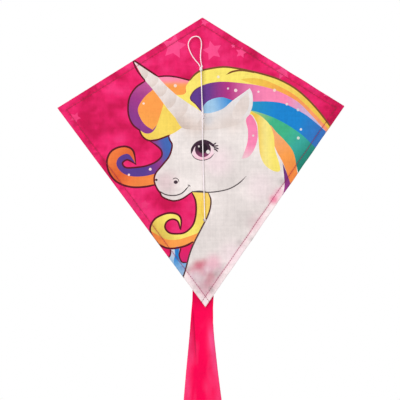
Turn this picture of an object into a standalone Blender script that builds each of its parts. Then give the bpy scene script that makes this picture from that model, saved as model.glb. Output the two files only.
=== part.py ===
"""Diamond kite with a two-leg bridle, a tow loop and a hanging ribbon tail.

The kite hangs upright, its printed face towards -Y. The world origin is the inside top of the tow loop.
Everything is placed in the kite's own frame, whose origin is the spar crossing on the sail's back face:
X runs to the right wing tip, Y to the back and Z to the nose. All sizes are in metres.
"""
import math

import bmesh
import bpy
from mathutils import Matrix, Vector

# Sail
SAIL_WIDTH = 0.300
SAIL_HEIGHT = 0.300
NOSE_RISE = 0.092
SAIL_THICKNESS = 0.0006
HEM_WIDTH = 0.008
HEM_THICKNESS = 0.0004
HEM_MITRE = 0.0004

# Clearances
GAP = 0.0003
ROD_FIT = 0.0003

# Rods and their end caps
ROD_RADIUS = 0.001
CAP_WALL = 0.0006
CAP_LENGTH = 0.009
CAP_END = 0.001

# Corner pockets
POCKET_SETBACK = 0.006
POCKET_LENGTH = 0.018
POCKET_WALL = 0.0006
POCKET_END = 0.0008
POCKET_MOUTH_WIDTH = 0.014
POCKET_TIP_WIDTH = 0.0066

# Cross connector
CONNECTOR_LENGTH = 0.016
CONNECTOR_WALL = 0.0012
CONNECTOR_WEB = 0.0006
BOSS_RADIUS = 0.0045
BOSS_PROUD = 0.0004

# Bridle
LINE_RADIUS = 0.00055
BEND_RADIUS = 0.0022
BRIDLE_HOLE_RADIUS = 0.0016
PATCH_RADIUS = 0.006
PATCH_THICKNESS = 0.0004
UPPER_TIE_DROP = 0.003
LOWER_TIE_Z = -0.117
TIE_HEIGHT_SCALE = 1.8
KNOT_CENTRE_X = -0.0025
KNOT_CENTRE_Z = 0.039
KNOT_HEIGHT = 0.004
KNOT_RADIUS = 0.0017
KNOT_BEVEL = 0.0005
LOOP_TOP_X = -0.0078
LOOP_TOP_Z = 0.0724

# Ribbon tail
TAIL_THICKNESS = 0.0004
TAIL_OFFSET_X = -0.0022
TAIL_SEWN_LENGTH = 0.020
TAIL_SEWN_WIDTH = 0.022
TAIL_FOLD_DROP = 0.0008
TAIL_UPPER_LENGTH = 0.150
TAIL_LOWER_LENGTH = 0.300
TAIL_FULL_WIDTH = 0.050
TAIL_FLARE_START = 0.028
TAIL_FLARE_START_WIDTH = 0.025

# Facets
ROUND_SIDES = 24
RING_SIDES = 24
RING_SECTION_SIDES = 10
CUT_OVERSHOOT = 0.002

# Places worked out from the sizes above
NOSE_Z = NOSE_RISE
FOOT_Z = NOSE_RISE - SAIL_HEIGHT
TIP_X = SAIL_WIDTH / 2
CAP_RADIUS = ROD_RADIUS + ROD_FIT + CAP_WALL
POCKET_BORE_RADIUS = CAP_RADIUS + ROD_FIT
HEM_FRONT_Y = GAP
SEWN_END_FRONT_Y = HEM_FRONT_Y + HEM_THICKNESS + GAP
FOOT_POCKET_FRONT_Y = SEWN_END_FRONT_Y + TAIL_THICKNESS + GAP
ROD_Y = FOOT_POCKET_FRONT_Y + POCKET_WALL + POCKET_BORE_RADIUS
ROD_BORE_RADIUS = ROD_RADIUS + ROD_FIT
SPAR_LIFT = 2 * ROD_BORE_RADIUS + CONNECTOR_WEB
CONNECTOR_RADIUS = ROD_BORE_RADIUS + CONNECTOR_WALL
ROD_END_INSET = POCKET_SETBACK + POCKET_END + ROD_FIT + CAP_END + ROD_FIT
UPPER_TIE_Z = -CONNECTOR_LENGTH / 2 - UPPER_TIE_DROP
TIE_RADIUS = ROD_RADIUS + ROD_FIT + LINE_RADIUS
LEG_END_Y = ROD_Y - TIE_RADIUS - LINE_RADIUS - GAP
LINE_Y = -(SAIL_THICKNESS + GAP + LINE_RADIUS)
KNOT_Y = -(SAIL_THICKNESS + GAP + KNOT_RADIUS)
LEG_SPACING = 2 * LINE_RADIUS + GAP
TAIL_Y = SEWN_END_FRONT_Y + TAIL_THICKNESS / 2
TAIL_FOLD_Z = FOOT_Z - TAIL_FOLD_DROP
TAIL_MIDDLE_Z = TAIL_FOLD_Z - TAIL_UPPER_LENGTH

AXIS_X = Vector((1, 0, 0))
AXIS_Y = Vector((0, 1, 0))
AXIS_Z = Vector((0, 0, 1))


def clear_scene():
    for item in list(bpy.data.objects):
        bpy.data.objects.remove(item, do_unlink=True)


def make_material(name, colour, roughness, metallic=0.0):
    material = bpy.data.materials.new(name)
    material.use_nodes = True
    shader = material.node_tree.nodes["Principled BSDF"]
    shader.inputs["Base Color"].default_value = (*colour, 1.0)
    shader.inputs["Roughness"].default_value = roughness
    shader.inputs["Metallic"].default_value = metallic
    return material


def add_object(name, data, material, parent):
    item = bpy.data.objects.new(name, data)
    bpy.context.collection.objects.link(item)
    item.parent = parent
    if material is not None:
        data.materials.append(material)
    return item


def add_empty(name, location, parent=None):
    empty = bpy.data.objects.new(name, None)
    bpy.context.collection.objects.link(empty)
    empty.parent = parent
    empty.location = location
    return empty


def mesh_from(bm, name):
    bmesh.ops.recalc_face_normals(bm, faces=bm.faces)
    mesh = bpy.data.meshes.new(name)
    bm.to_mesh(mesh)
    bm.free()
    return mesh


def plate_mesh(name, outline, front_y, thickness):
    """A flat plate: a closed outline of (x, z) points, thickened towards +Y."""
    bm = bmesh.new()
    face = bm.faces.new([bm.verts.new((x, front_y, z)) for x, z in outline])
    grown = bmesh.ops.extrude_face_region(bm, geom=[face])
    moved = [v for v in grown["geom"] if isinstance(v, bmesh.types.BMVert)]
    bmesh.ops.translate(bm, verts=moved, vec=(0, thickness, 0))
    return mesh_from(bm, name)


def cylinder_mesh(name, start, axis, length, radius, sides=ROUND_SIDES):
    """A round bar from start along axis, shaded smooth with sharp ends."""
    bm = bmesh.new()
    turn = axis.to_track_quat("Z", "Y").to_matrix().to_4x4()
    place = Matrix.Translation(start + axis * (length / 2)) @ turn
    bmesh.ops.create_cone(
        bm, cap_ends=True, segments=sides, radius1=radius, radius2=radius, depth=length, matrix=place)
    mesh = mesh_from(bm, name)
    mesh.shade_smooth()
    mesh.set_sharp_from_angle(angle=math.radians(40))
    return mesh


def cylinder_between(name, start, end, radius):
    reach = end - start
    return cylinder_mesh(name, start, reach.normalized(), reach.length, radius)


def add_helper(name, mesh, parent):
    """A shape that only cuts or joins another one, and is no part of the kite."""
    helper = add_object(name, mesh, None, parent)
    helper.hide_render = True
    helper.display_type = "WIRE"
    return helper


def combine(item, helper, operation):
    step = item.modifiers.new(helper.name, "BOOLEAN")
    step.operation = operation
    step.solver = "EXACT"
    step.object = helper


def inset_outline(outline, distance):
    """The outline moved inwards by distance, for corners listed clockwise as seen from the front."""
    count = len(outline)
    lines = []
    for i in range(count):
        start = Vector(outline[i])
        edge = (Vector(outline[(i + 1) % count]) - start).normalized()
        inward = Vector((edge.y, -edge.x))
        lines.append((start + inward * distance, edge))
    corners = []
    for i in range(count):
        point, edge = lines[i - 1]
        other, other_edge = lines[i]
        step = (other - point).cross(other_edge) / edge.cross(other_edge)
        corners.append(point + edge * step)
    return corners


def disc_outline(centre_z, radius):
    turns = [2 * math.pi * i / ROUND_SIDES for i in range(ROUND_SIDES)]
    return [(radius * math.cos(t), centre_z + radius * math.sin(t)) for t in turns]


def smooth_route(points, steps=2):
    """Points along a Catmull-Rom curve through the route's own points."""
    route = [Vector(p) for p in points]
    padded = [2 * route[0] - route[1]] + route + [2 * route[-1] - route[-2]]
    path = []
    for i in range(1, len(padded) - 2):
        a, b, c, d = padded[i - 1:i + 3]
        for k in range(steps):
            t = k / steps
            path.append(0.5 * (2 * b + (c - a) * t + (2 * a - 5 * b + 4 * c - d) * t ** 2
                               + (3 * b - a - 3 * c + d) * t ** 3))
    path.append(route[-1])
    return path


def add_tube(name, path, radius, material, parent, bevel_resolution=2):
    curve = bpy.data.curves.new(name, "CURVE")
    curve.dimensions = "3D"
    curve.bevel_depth = radius
    curve.bevel_resolution = bevel_resolution
    curve.use_fill_caps = True
    spline = curve.splines.new("POLY")
    spline.points.add(len(path) - 1)
    for point, place in zip(spline.points, path):
        point.co = (*place, 1.0)
    spline.use_smooth = True
    return add_object(name, curve, material, parent)


def corner_points():
    """Nose, right tip, foot and left tip, clockwise as seen from the front."""
    return [(0, NOSE_Z), (TIP_X, 0), (0, FOOT_Z), (-TIP_X, 0)]


def build_sail(parent, material):
    sail = add_object(
        "sail_panel", plate_mesh("sail_panel", corner_points(), -SAIL_THICKNESS, SAIL_THICKNESS), material, parent)
    cut_bridle_hole(sail, "sail", UPPER_TIE_Z, parent)
    cut_bridle_hole(sail, "sail", LOWER_TIE_Z, parent)


def cut_bridle_hole(item, label, height, parent):
    start = Vector((0, -SAIL_THICKNESS - CUT_OVERSHOOT, height))
    length = SAIL_THICKNESS + GAP + PATCH_THICKNESS + 2 * CUT_OVERSHOOT
    name = f"cutter_{label}_{round(-height * 1000)}"
    combine(item, add_helper(name, cylinder_mesh(name, start, AXIS_Y, length, BRIDLE_HOLE_RADIUS), parent),
            "DIFFERENCE")


def build_hems(parent, material):
    """The folded edge of each side, mitred at the corners."""
    outer = [Vector(p) for p in corner_points()]
    inner = inset_outline(corner_points(), HEM_WIDTH)
    names = ("hem_upper_right", "hem_lower_right", "hem_lower_left", "hem_upper_left")
    for i, name in enumerate(names):
        j = (i + 1) % len(outer)
        trim = (outer[j] - outer[i]).normalized() * HEM_MITRE
        outline = [outer[i] + trim, outer[j] - trim, inner[j] - trim, inner[i] + trim]
        add_object(name, plate_mesh(name, outline, HEM_FRONT_Y, HEM_THICKNESS), material, parent)


def build_pocket(name, corner, inward, front_y, parent, material):
    """A sewn pocket that holds a capped rod end: a flat patch with a round channel, open inwards."""
    side = Vector((inward.z, 0, -inward.x))
    tip = corner + inward * POCKET_SETBACK
    mouth = tip + inward * POCKET_LENGTH
    corners = [tip - side * POCKET_TIP_WIDTH / 2, tip + side * POCKET_TIP_WIDTH / 2,
               mouth + side * POCKET_MOUTH_WIDTH / 2, mouth - side * POCKET_MOUTH_WIDTH / 2]
    back_y = ROD_Y - POCKET_BORE_RADIUS + POCKET_WALL
    patch = plate_mesh(name, [(p.x, p.z) for p in corners], front_y, back_y - front_y)
    pocket = add_object(name, patch, material, parent)
    axis_shift = AXIS_Y * ROD_Y
    channel = cylinder_between(
        f"channel_{name}", tip + axis_shift, mouth + axis_shift, POCKET_BORE_RADIUS + POCKET_WALL)
    combine(pocket, add_helper(f"channel_{name}", channel, parent), "UNION")
    bore = cylinder_mesh(f"bore_{name}", tip + inward * POCKET_END + axis_shift, inward,
                         POCKET_LENGTH + CUT_OVERSHOOT, POCKET_BORE_RADIUS)
    combine(pocket, add_helper(f"bore_{name}", bore, parent), "DIFFERENCE")


def build_cap(name, corner, inward, parent, material):
    """A vinyl cap over a rod's end."""
    start = corner + inward * (POCKET_SETBACK + POCKET_END + ROD_FIT) + AXIS_Y * ROD_Y
    cap = add_object(name, cylinder_mesh(name, start, inward, CAP_LENGTH, CAP_RADIUS), material, parent)
    bore = cylinder_mesh(f"bore_{name}", start + inward * CAP_END, inward, CAP_LENGTH, ROD_BORE_RADIUS)
    combine(cap, add_helper(f"bore_{name}", bore, parent), "DIFFERENCE")


def build_spine(parent, material):
    start = Vector((0, ROD_Y, FOOT_Z + ROD_END_INSET))
    end = Vector((0, ROD_Y, NOSE_Z - ROD_END_INSET))
    add_object("spine_rod", cylinder_between("spine_rod", start, end, ROD_RADIUS), material, parent)


def build_cross_spar(parent, material):
    """A springy rod that lies close to the sail at its ends and bows back over the spine."""
    reach = TIP_X - ROD_END_INSET
    count = 36
    path = []
    for i in range(count + 1):
        share = 2 * i / count - 1
        path.append(Vector((share * reach, ROD_Y + SPAR_LIFT * (1 - share ** 2) ** 2, 0)))
    add_tube("cross_spar_rod", path, ROD_RADIUS, material, parent, bevel_resolution=4)


def build_connector(parent, material):
    """A moulded cross: the spine runs through its front tube and the cross spar through its back tube."""
    half = CONNECTOR_LENGTH / 2
    spar_y = ROD_Y + SPAR_LIFT
    connector = add_object(
        "cross_connector",
        cylinder_mesh("cross_connector", Vector((0, ROD_Y, -half)), AXIS_Z, CONNECTOR_LENGTH, CONNECTOR_RADIUS),
        material, parent)
    spar_tube = cylinder_mesh(
        "connector_spar_tube", Vector((-half, spar_y, 0)), AXIS_X, CONNECTOR_LENGTH, CONNECTOR_RADIUS)
    boss_length = SPAR_LIFT + CONNECTOR_RADIUS + BOSS_PROUD
    boss = cylinder_mesh("connector_boss", Vector((0, ROD_Y, 0)), AXIS_Y, boss_length, BOSS_RADIUS)
    spine_bore = cylinder_mesh(
        "connector_spine_bore", Vector((0, ROD_Y, -half - CUT_OVERSHOOT)), AXIS_Z,
        CONNECTOR_LENGTH + 2 * CUT_OVERSHOOT, ROD_BORE_RADIUS)
    spar_bore = cylinder_mesh(
        "connector_spar_bore", Vector((-half - CUT_OVERSHOOT, spar_y, 0)), AXIS_X,
        CONNECTOR_LENGTH + 2 * CUT_OVERSHOOT, ROD_BORE_RADIUS)
    for mesh in (spar_tube, boss):
        combine(connector, add_helper(mesh.name, mesh, parent), "UNION")
    for mesh in (spine_bore, spar_bore):
        combine(connector, add_helper(mesh.name, mesh, parent), "DIFFERENCE")


def build_patches(parent, material):
    """Round reinforcing patches behind the bridle's two holes."""
    for name, height in (("bridle_patch_upper", UPPER_TIE_Z), ("bridle_patch_lower", LOWER_TIE_Z)):
        mesh = plate_mesh(name, disc_outline(height, PATCH_RADIUS), GAP, PATCH_THICKNESS)
        patch = add_object(name, mesh, material, parent)
        cut_bridle_hole(patch, name, height, parent)


def build_ties(parent, material):
    """The turns of line that tie each leg round the spine."""
    for name, height in (("bridle_tie_upper", UPPER_TIE_Z), ("bridle_tie_lower", LOWER_TIE_Z)):
        bm = bmesh.new()
        rings = []
        for i in range(RING_SIDES):
            turn = 2 * math.pi * i / RING_SIDES
            outward = Vector((math.cos(turn), math.sin(turn), 0))
            ring = []
            for k in range(RING_SECTION_SIDES):
                angle = 2 * math.pi * k / RING_SECTION_SIDES
                place = outward * (TIE_RADIUS + LINE_RADIUS * math.cos(angle))
                place.z = LINE_RADIUS * TIE_HEIGHT_SCALE * math.sin(angle)
                ring.append(bm.verts.new(place + Vector((0, ROD_Y, height))))
            rings.append(ring)
        for i, ring in enumerate(rings):
            following = rings[(i + 1) % RING_SIDES]
            for k in range(RING_SECTION_SIDES):
                j = (k + 1) % RING_SECTION_SIDES
                bm.faces.new((ring[k], following[k], following[j], ring[j]))
        mesh = mesh_from(bm, name)
        mesh.shade_smooth()
        add_object(name, mesh, material, parent)


def entry_bend(height, x=0.0):
    """A leg's last points: down the front, through the sail and straight back to its tie."""
    points = []
    for degrees in (0, 30, 60, 90):
        turn = math.radians(degrees)
        points.append((x, LINE_Y + BEND_RADIUS * (1 - math.cos(turn)), height + BEND_RADIUS * (1 - math.sin(turn))))
    points.append((x, LEG_END_Y, height))
    return points


def build_bridle(parent, material):
    """Two legs, the tow knot and the tow loop, lying over the front of the sail."""
    leg_top_z = KNOT_CENTRE_Z - KNOT_HEIGHT / 2 - GAP
    back_y = KNOT_Y + LEG_SPACING / 2
    front_y = KNOT_Y - LEG_SPACING / 2
    upper_leg = [
        (-0.0024, back_y, leg_top_z),
        (-0.0023, back_y, 0.034),
        (-0.0020, LINE_Y, 0.022),
        (-0.0014, LINE_Y, 0.006),
        (-0.0004, LINE_Y, -0.005),
    ]
    lower_leg = [
        (-0.0024, front_y, leg_top_z),
        (-0.0023, front_y, 0.033),
        (-0.0021, front_y, 0.020),
        (-0.0018, front_y, 0.004),
        (-0.0016, front_y, -0.012),
        (-0.0014, LINE_Y, -0.030),
        (-0.0011, LINE_Y, -0.052),
        (-0.0007, LINE_Y, -0.076),
        (-0.0002, LINE_Y, -0.100),
    ]
    add_tube("bridle_upper_leg", smooth_route(upper_leg + entry_bend(UPPER_TIE_Z)), LINE_RADIUS, material, parent)
    add_tube("bridle_lower_leg", smooth_route(lower_leg + entry_bend(LOWER_TIE_Z)), LINE_RADIUS, material, parent)

    knot = cylinder_mesh("tow_knot", Vector((KNOT_CENTRE_X, KNOT_Y, KNOT_CENTRE_Z - KNOT_HEIGHT / 2)),
                         AXIS_Z, KNOT_HEIGHT, KNOT_RADIUS, sides=16)
    knot = add_object("tow_knot", knot, material, parent)
    rounding = knot.modifiers.new("rounding", "BEVEL")
    rounding.width = KNOT_BEVEL
    rounding.segments = 2

    loop_start_z = KNOT_CENTRE_Z + KNOT_HEIGHT / 2 + GAP
    loop = [
        (-0.0017, KNOT_Y, loop_start_z),
        (-0.0021, KNOT_Y, 0.0450),
        (-0.0028, KNOT_Y, 0.0500),
        (-0.0025, KNOT_Y, 0.0567),
        (-0.0018, KNOT_Y, 0.0624),
        (-0.0021, KNOT_Y, 0.0681),
        (-0.0043, KNOT_Y, 0.0716),
        (LOOP_TOP_X, KNOT_Y, LOOP_TOP_Z),
        (-0.0114, KNOT_Y, 0.0712),
        (-0.0142, KNOT_Y, 0.0681),
        (-0.0154, KNOT_Y, 0.0640),
        (-0.0143, KNOT_Y, 0.0588),
        (-0.0116, KNOT_Y, 0.0529),
        (-0.0080, KNOT_Y, 0.0478),
        (-0.0050, KNOT_Y, 0.0443),
        (-0.0033, KNOT_Y, loop_start_z),
    ]
    add_tube("tow_loop", smooth_route(loop), LINE_RADIUS, material, parent)


def ribbon_mesh(name, stations):
    """A flat ribbon from (z, width) stations, top first, centred on the plane y = 0."""
    right = [(TAIL_OFFSET_X + width / 2, z) for z, width in stations]
    left = [(TAIL_OFFSET_X - width / 2, z) for z, width in reversed(stations)]
    return plate_mesh(name, right + left, -TAIL_THICKNESS / 2, TAIL_THICKNESS)


def build_tail(parent, material):
    """One ribbon in three lengths: sewn to the foot corner, bending at its fold, and bending half-way."""
    sewn_bottom = TAIL_FOLD_Z + GAP
    sewn = ribbon_mesh("tail_sewn_end", [
        (sewn_bottom + TAIL_SEWN_LENGTH, TAIL_SEWN_WIDTH),
        (sewn_bottom, TAIL_SEWN_WIDTH),
    ])
    add_object("tail_sewn_end", sewn, material, parent).location = (0, TAIL_Y, 0)

    fold = add_empty("tail_fold_axis", (0, TAIL_Y, TAIL_FOLD_Z), parent)
    upper = ribbon_mesh("tail_upper_length", [
        (-GAP, TAIL_SEWN_WIDTH),
        (-TAIL_FLARE_START, TAIL_FLARE_START_WIDTH),
        (GAP - TAIL_UPPER_LENGTH, TAIL_FULL_WIDTH),
    ])
    add_object("tail_upper_length", upper, material, fold)

    middle = add_empty("tail_middle_axis", (0, 0, -TAIL_UPPER_LENGTH), fold)
    lower = ribbon_mesh("tail_lower_length", [
        (-GAP, TAIL_FULL_WIDTH),
        (-TAIL_LOWER_LENGTH, TAIL_FULL_WIDTH),
    ])
    add_object("tail_lower_length", lower, material, middle)


def main():
    clear_scene()
    sail_cloth = make_material("sail_cloth", (0.80, 0.03, 0.18), 0.55)
    hem_cloth = make_material("hem_cloth", (0.74, 0.03, 0.17), 0.60)
    pocket_cloth = make_material("pocket_cloth", (0.78, 0.76, 0.76), 0.65)
    ribbon = make_material("ribbon", (0.88, 0.02, 0.12), 0.45)
    line = make_material("bridle_line", (0.86, 0.86, 0.88), 0.70)
    fibreglass = make_material("fibreglass", (0.82, 0.82, 0.80), 0.35)
    moulding = make_material("connector_moulding", (0.03, 0.03, 0.03), 0.50)
    vinyl = make_material("vinyl_cap", (0.04, 0.04, 0.04), 0.45)

    kite = add_empty("kite_frame", (-LOOP_TOP_X, -KNOT_Y, LINE_RADIUS - LOOP_TOP_Z))
    corners = [Vector((x, 0, z)) for x, z in corner_points()]
    labels = ("nose", "right_tip", "foot", "left_tip")

    build_sail(kite, sail_cloth)
    build_hems(kite, hem_cloth)
    for label, corner in zip(labels, corners):
        inward = -corner.normalized()
        front_y = FOOT_POCKET_FRONT_Y if label == "foot" else SEWN_END_FRONT_Y
        build_pocket(f"pocket_{label}", corner, inward, front_y, kite, pocket_cloth)
        build_cap(f"cap_{label}", corner, inward, kite, vinyl)
    build_spine(kite, fibreglass)
    build_cross_spar(kite, fibreglass)
    build_connector(kite, moulding)
    build_patches(kite, pocket_cloth)
    build_ties(kite, line)
    build_bridle(kite, line)
    build_tail(kite, ribbon)


main()
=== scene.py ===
"""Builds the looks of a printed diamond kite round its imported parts, in the same frame, in metres.

Places on the kite are in millimetres in the kite's own frame: X runs to the right wing tip, Y to the back and
Z to the nose, from the spar crossing on the sail's back face.
"""
import math

import bmesh
import bpy
import numpy as np
from bpy.props import FloatProperty, FloatVectorProperty, IntProperty, PointerProperty
from mathutils import Matrix, Vector, noise
from mathutils.geometry import delaunay_2d_cdt
from mathutils.kdtree import KDTree


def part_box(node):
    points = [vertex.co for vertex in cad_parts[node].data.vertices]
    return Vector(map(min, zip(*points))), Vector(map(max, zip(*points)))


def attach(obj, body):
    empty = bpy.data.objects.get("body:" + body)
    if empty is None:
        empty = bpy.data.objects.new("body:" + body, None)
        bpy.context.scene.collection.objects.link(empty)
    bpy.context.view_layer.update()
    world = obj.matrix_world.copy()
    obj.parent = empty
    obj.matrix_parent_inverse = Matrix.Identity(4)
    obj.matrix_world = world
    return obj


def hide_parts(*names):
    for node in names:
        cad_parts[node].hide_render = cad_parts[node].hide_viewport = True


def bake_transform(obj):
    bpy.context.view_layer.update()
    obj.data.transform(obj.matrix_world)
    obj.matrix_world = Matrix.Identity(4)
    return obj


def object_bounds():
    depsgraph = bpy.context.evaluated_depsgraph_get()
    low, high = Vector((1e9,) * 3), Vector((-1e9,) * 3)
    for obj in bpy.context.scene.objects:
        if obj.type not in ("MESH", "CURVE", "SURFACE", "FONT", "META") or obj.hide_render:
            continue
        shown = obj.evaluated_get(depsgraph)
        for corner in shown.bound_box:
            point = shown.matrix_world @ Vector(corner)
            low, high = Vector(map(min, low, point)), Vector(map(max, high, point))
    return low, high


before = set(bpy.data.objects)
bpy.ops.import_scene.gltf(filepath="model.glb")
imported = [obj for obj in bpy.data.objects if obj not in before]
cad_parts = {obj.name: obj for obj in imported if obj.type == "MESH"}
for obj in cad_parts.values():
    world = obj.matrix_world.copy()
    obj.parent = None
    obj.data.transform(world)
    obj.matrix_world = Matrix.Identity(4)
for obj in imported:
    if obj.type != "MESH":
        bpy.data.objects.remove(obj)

bl_info = {
    "name": "Diamond kite",
    "version": (1, 0, 0),
    "blender": (4, 5, 0),
    "location": "3D View > Sidebar > Kite",
    "description": "Makes a printed diamond kite with a bridle, a rod frame and a ribbon tail",
    "category": "Object",
}

MM = 0.001
CAD_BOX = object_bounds()

# The kite's frame, and its sizes in millimetres
NOSE_Z = 92.0
FOOT_Z = -208.0
TIP_X = 150.0
SAIL_LOW, SAIL_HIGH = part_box("sail_panel")
ORIGIN = Vector(((SAIL_LOW.x + SAIL_HIGH.x) / 2, SAIL_HIGH.y, SAIL_HIGH.z - NOSE_Z * MM))
CORNERS = ((0.0, NOSE_Z), (TIP_X, 0.0), (0.0, FOOT_Z), (-TIP_X, 0.0))
CORNER_NAMES = ("nose", "right_tip", "foot", "left_tip")
EDGE_NAMES = ("hem_upper_right", "hem_lower_right", "hem_lower_left", "hem_upper_left")
ROD_Y = 4.5
SPAR_Y = 7.7
UPPER_HOLE_Z = -11.0
LOWER_HOLE_Z = -117.0
HOLE_RADIUS = 1.6
SPAR_END = 141.6
BORE_RADIUS = 1.12
CAP_SETBACK = 7.1
POCKET_SETBACK = 6.0
POCKET_LENGTH = 18.0

# Layers of cloth, as places along Y
SAIL_FRONT_Y = -0.50
SAIL_BACK_Y = -0.15
HEM_BACK_Y = 0.55
HEM_STEP = 0.12
STITCH_ROW = 6.6
STITCH_PULL = 0.13
STITCH_OVERRUN = 6.5
RIM_INSET = 0.5
HEM_END_GAP = 0.0008
SHORTEST_EDGE = 0.06

# How strongly the ink clouds over each kind of area
GROUND_CLOUD = 1.0
COAT_CLOUD = 0.6
CROWN_CLOUD = 0.5
STAR_CLOUD = 0.4
HORN_CLOUD = 0.3
HAIR_CLOUD = 0.05
STAINS_BELOW_Z = -160

# The studio: places in the kite's frame, angles in degrees, sizes in metres and powers in watts
CAMERA_PLACE = (-174, -1206, -35.1)
CAMERA_ANGLES = (-8.0, 2.87, -0.60)
CAMERA_LENS = 105.8
LIGHTS = (
    ("key_light", (-950, -950, 600), 0.7, 15.5),
    ("fill_light", (900, -900, 100), 1.2, 4.4),
    ("back_light", (500, 1000, 600), 0.9, 8.0))
LIGHTS_AIM = (0, 0, -80)
FLOOR_DROP = 0.07
FLOOR_RINGS = ((0.52, 0.0), (0.55, -0.002), (0.56, -0.012))


def linear(red, green, blue):
    """A screen colour from 0 to 255, as the linear values that a shader takes."""
    return tuple(((c / 255 + 0.055) / 1.055) ** 2.4 for c in (red, green, blue))


def colour(name, description, default):
    return FloatVectorProperty(
        name=name, description=description, default=linear(*default), size=3, min=0.0, max=1.0,
        subtype="COLOR")


def length(name, description, default):
    return FloatProperty(
        name=name, description=description, default=default, min=0.0, unit="LENGTH", precision=5)


class KiteColours(bpy.types.PropertyGroup):
    """Colours of the print, the cloth and the fittings."""

    ground: colour("Ground", "Main colour of the printed ground", (226, 22, 98))
    ground_dark: colour("Dark ground", "Darker clouds in the ground", (196, 0, 74))
    ground_light: colour("Light ground", "Lighter clouds in the ground", (240, 50, 122))
    star: colour("Stars", "Stars scattered over the ground", (252, 88, 150))
    white: colour("White", "The animal's coat and the unprinted cloth", (234, 225, 222))
    shade: colour("Coat shade", "Soft shading on the coat", (190, 180, 178))
    blush: colour("Blush", "Warm pink shading on the coat", (243, 214, 224))
    horn: colour("Horn", "Warm shade of the horn and the inner ear", (208, 188, 178))
    yellow: colour("Yellow", "Yellow hair", (246, 226, 108))
    gold: colour("Gold", "Darker edge of the yellow hair", (236, 192, 74))
    orange: colour("Orange", "Orange hair", (247, 156, 74))
    rust: colour("Rust", "Darker orange hair", (228, 98, 48))
    purple: colour("Purple", "Purple hair", (86, 56, 138))
    magenta: colour("Magenta", "Magenta hair", (158, 52, 132))
    pink: colour("Pink", "Pink hair", (247, 132, 176))
    blue: colour("Blue", "Blue hair", (16, 130, 206))
    sky: colour("Sky blue", "Light blue hair", (158, 198, 230))
    green: colour("Green", "Green hair", (62, 178, 132))
    pine: colour("Dark green", "Shaded end of the green hair", (24, 122, 104))
    outline: colour("Outline", "Dark lines of the drawing", (92, 14, 30))
    pencil: colour("Pencil", "Thin lines on the face", (84, 74, 76))
    eye: colour("Eye", "The eye's iris", (58, 34, 52))
    ribbon: colour("Ribbon", "The tail's satin ribbon", (255, 2, 84))
    thread: colour("Thread", "Sewing thread", (146, 30, 78))
    cord: colour("Cord", "Bridle line", (248, 237, 241))
    rod: colour("Rods", "Fibreglass rods", (226, 226, 218))
    moulding: colour("Moulding", "Cross connector", (34, 34, 38))
    vinyl: colour("Vinyl", "Caps on the rod ends", (40, 40, 44))
    tape: colour("Tape", "Woven tape of the pockets and patches", (226, 222, 224))
    floor: colour("Floor", "Studio floor", (244, 244, 244))


class KiteSizes(bpy.types.PropertyGroup):
    """Sizes of the cloth work, the line and the stitches."""

    sail_grid: length("Sail grid", "Spacing of the points inside the sail's mesh", 0.003)
    hem_width: length("Hem width", "Width of the turned edge", 0.008)
    stitch_inset: length("Stitch inset", "Distance from the sail's edge to its row of stitches", 0.0066)
    stitch_length: length("Stitch length", "Length of one stitch", 0.0025)
    stitch_pitch: length("Stitch pitch", "Distance from one stitch to the next", 0.0027)
    thread_width: length("Thread width", "Thickness of the sewing thread", 0.0005)
    line_radius: length("Line radius", "Radius of the bridle line", 0.00055)
    line_lay: length("Line lay", "Length of one full turn of the line's strands", 0.0042)
    line_strands: IntProperty(
        name="Line strands", description="Strands twisted into the line", default=3, min=2)
    rod_radius: length("Rod radius", "Radius of the rods", 0.001)
    cap_radius: length("Cap radius", "Outside radius of the rods' end caps", 0.0019)
    ribbon_width: length("Ribbon width", "Flat width of the tail's ribbon", 0.050)
    ribbon_thickness: length("Ribbon thickness", "Thickness of the tail's ribbon", 0.00012)
    ripple: length("Ripple", "Height of the soft ripples in the sail", 0.0008)


# Curves and meshes


def at(x, y, z):
    """A place on the kite, in metres in the shared frame."""
    return Vector((ORIGIN.x + x * MM, ORIGIN.y + y * MM, ORIGIN.z + z * MM))


def curve_points(points, closed=False, step=2.0):
    """Points along a smooth curve through the given ones. A point given twice makes a sharp corner."""
    given = [Vector(p) for p in points]
    count = len(given)
    if closed:
        given = [given[-1]] + given + given[:2]
    else:
        given = [2 * given[0] - given[1]] + given + [2 * given[-1] - given[-2]]
        count -= 1
    path = []
    for i in range(1, count + 1):
        a, b, c, d = given[i - 1:i + 3]
        if (c - b).length < 1e-9:
            continue
        pieces = max(1, math.ceil((c - b).length / step))
        for k in range(pieces):
            t = k / pieces
            path.append(0.5 * (2 * b + (c - a) * t + (2 * a - 5 * b + 4 * c - d) * t ** 2
                               + (3 * b - a - 3 * c + d) * t ** 3))
    if not closed:
        path.append(given[-2])
    return path


def even_points(path, step):
    """The path again, with its points an even distance apart."""
    reach = [0.0]
    for a, b in zip(path, path[1:]):
        reach.append(reach[-1] + (b - a).length)
    count = max(2, round(reach[-1] / step))
    found = []
    k = 0
    for i in range(count + 1):
        want = reach[-1] * i / count
        while k < len(path) - 2 and reach[k + 1] < want:
            k += 1
        share = (want - reach[k]) / max(reach[k + 1] - reach[k], 1e-12)
        found.append(path[k].lerp(path[k + 1], min(max(share, 0.0), 1.0)))
    return found


def turns_of(count):
    """Even turns round a circle, in radians."""
    return [2 * math.pi * k / count for k in range(count)]


def smooth_share(value, low, high):
    """How far a value is from low to high, from 0 to 1, with both ends eased."""
    t = min(max((value - low) / (high - low), 0.0), 1.0)
    return t * t * (3 - 2 * t)


def shade_surface(mesh, sharp_angle):
    """Smooth shading, with sharp edges where the surface turns by more than the angle in degrees."""
    mesh.shade_smooth()
    if sharp_angle is not None:
        mesh.set_sharp_from_angle(angle=math.radians(sharp_angle))


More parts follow.
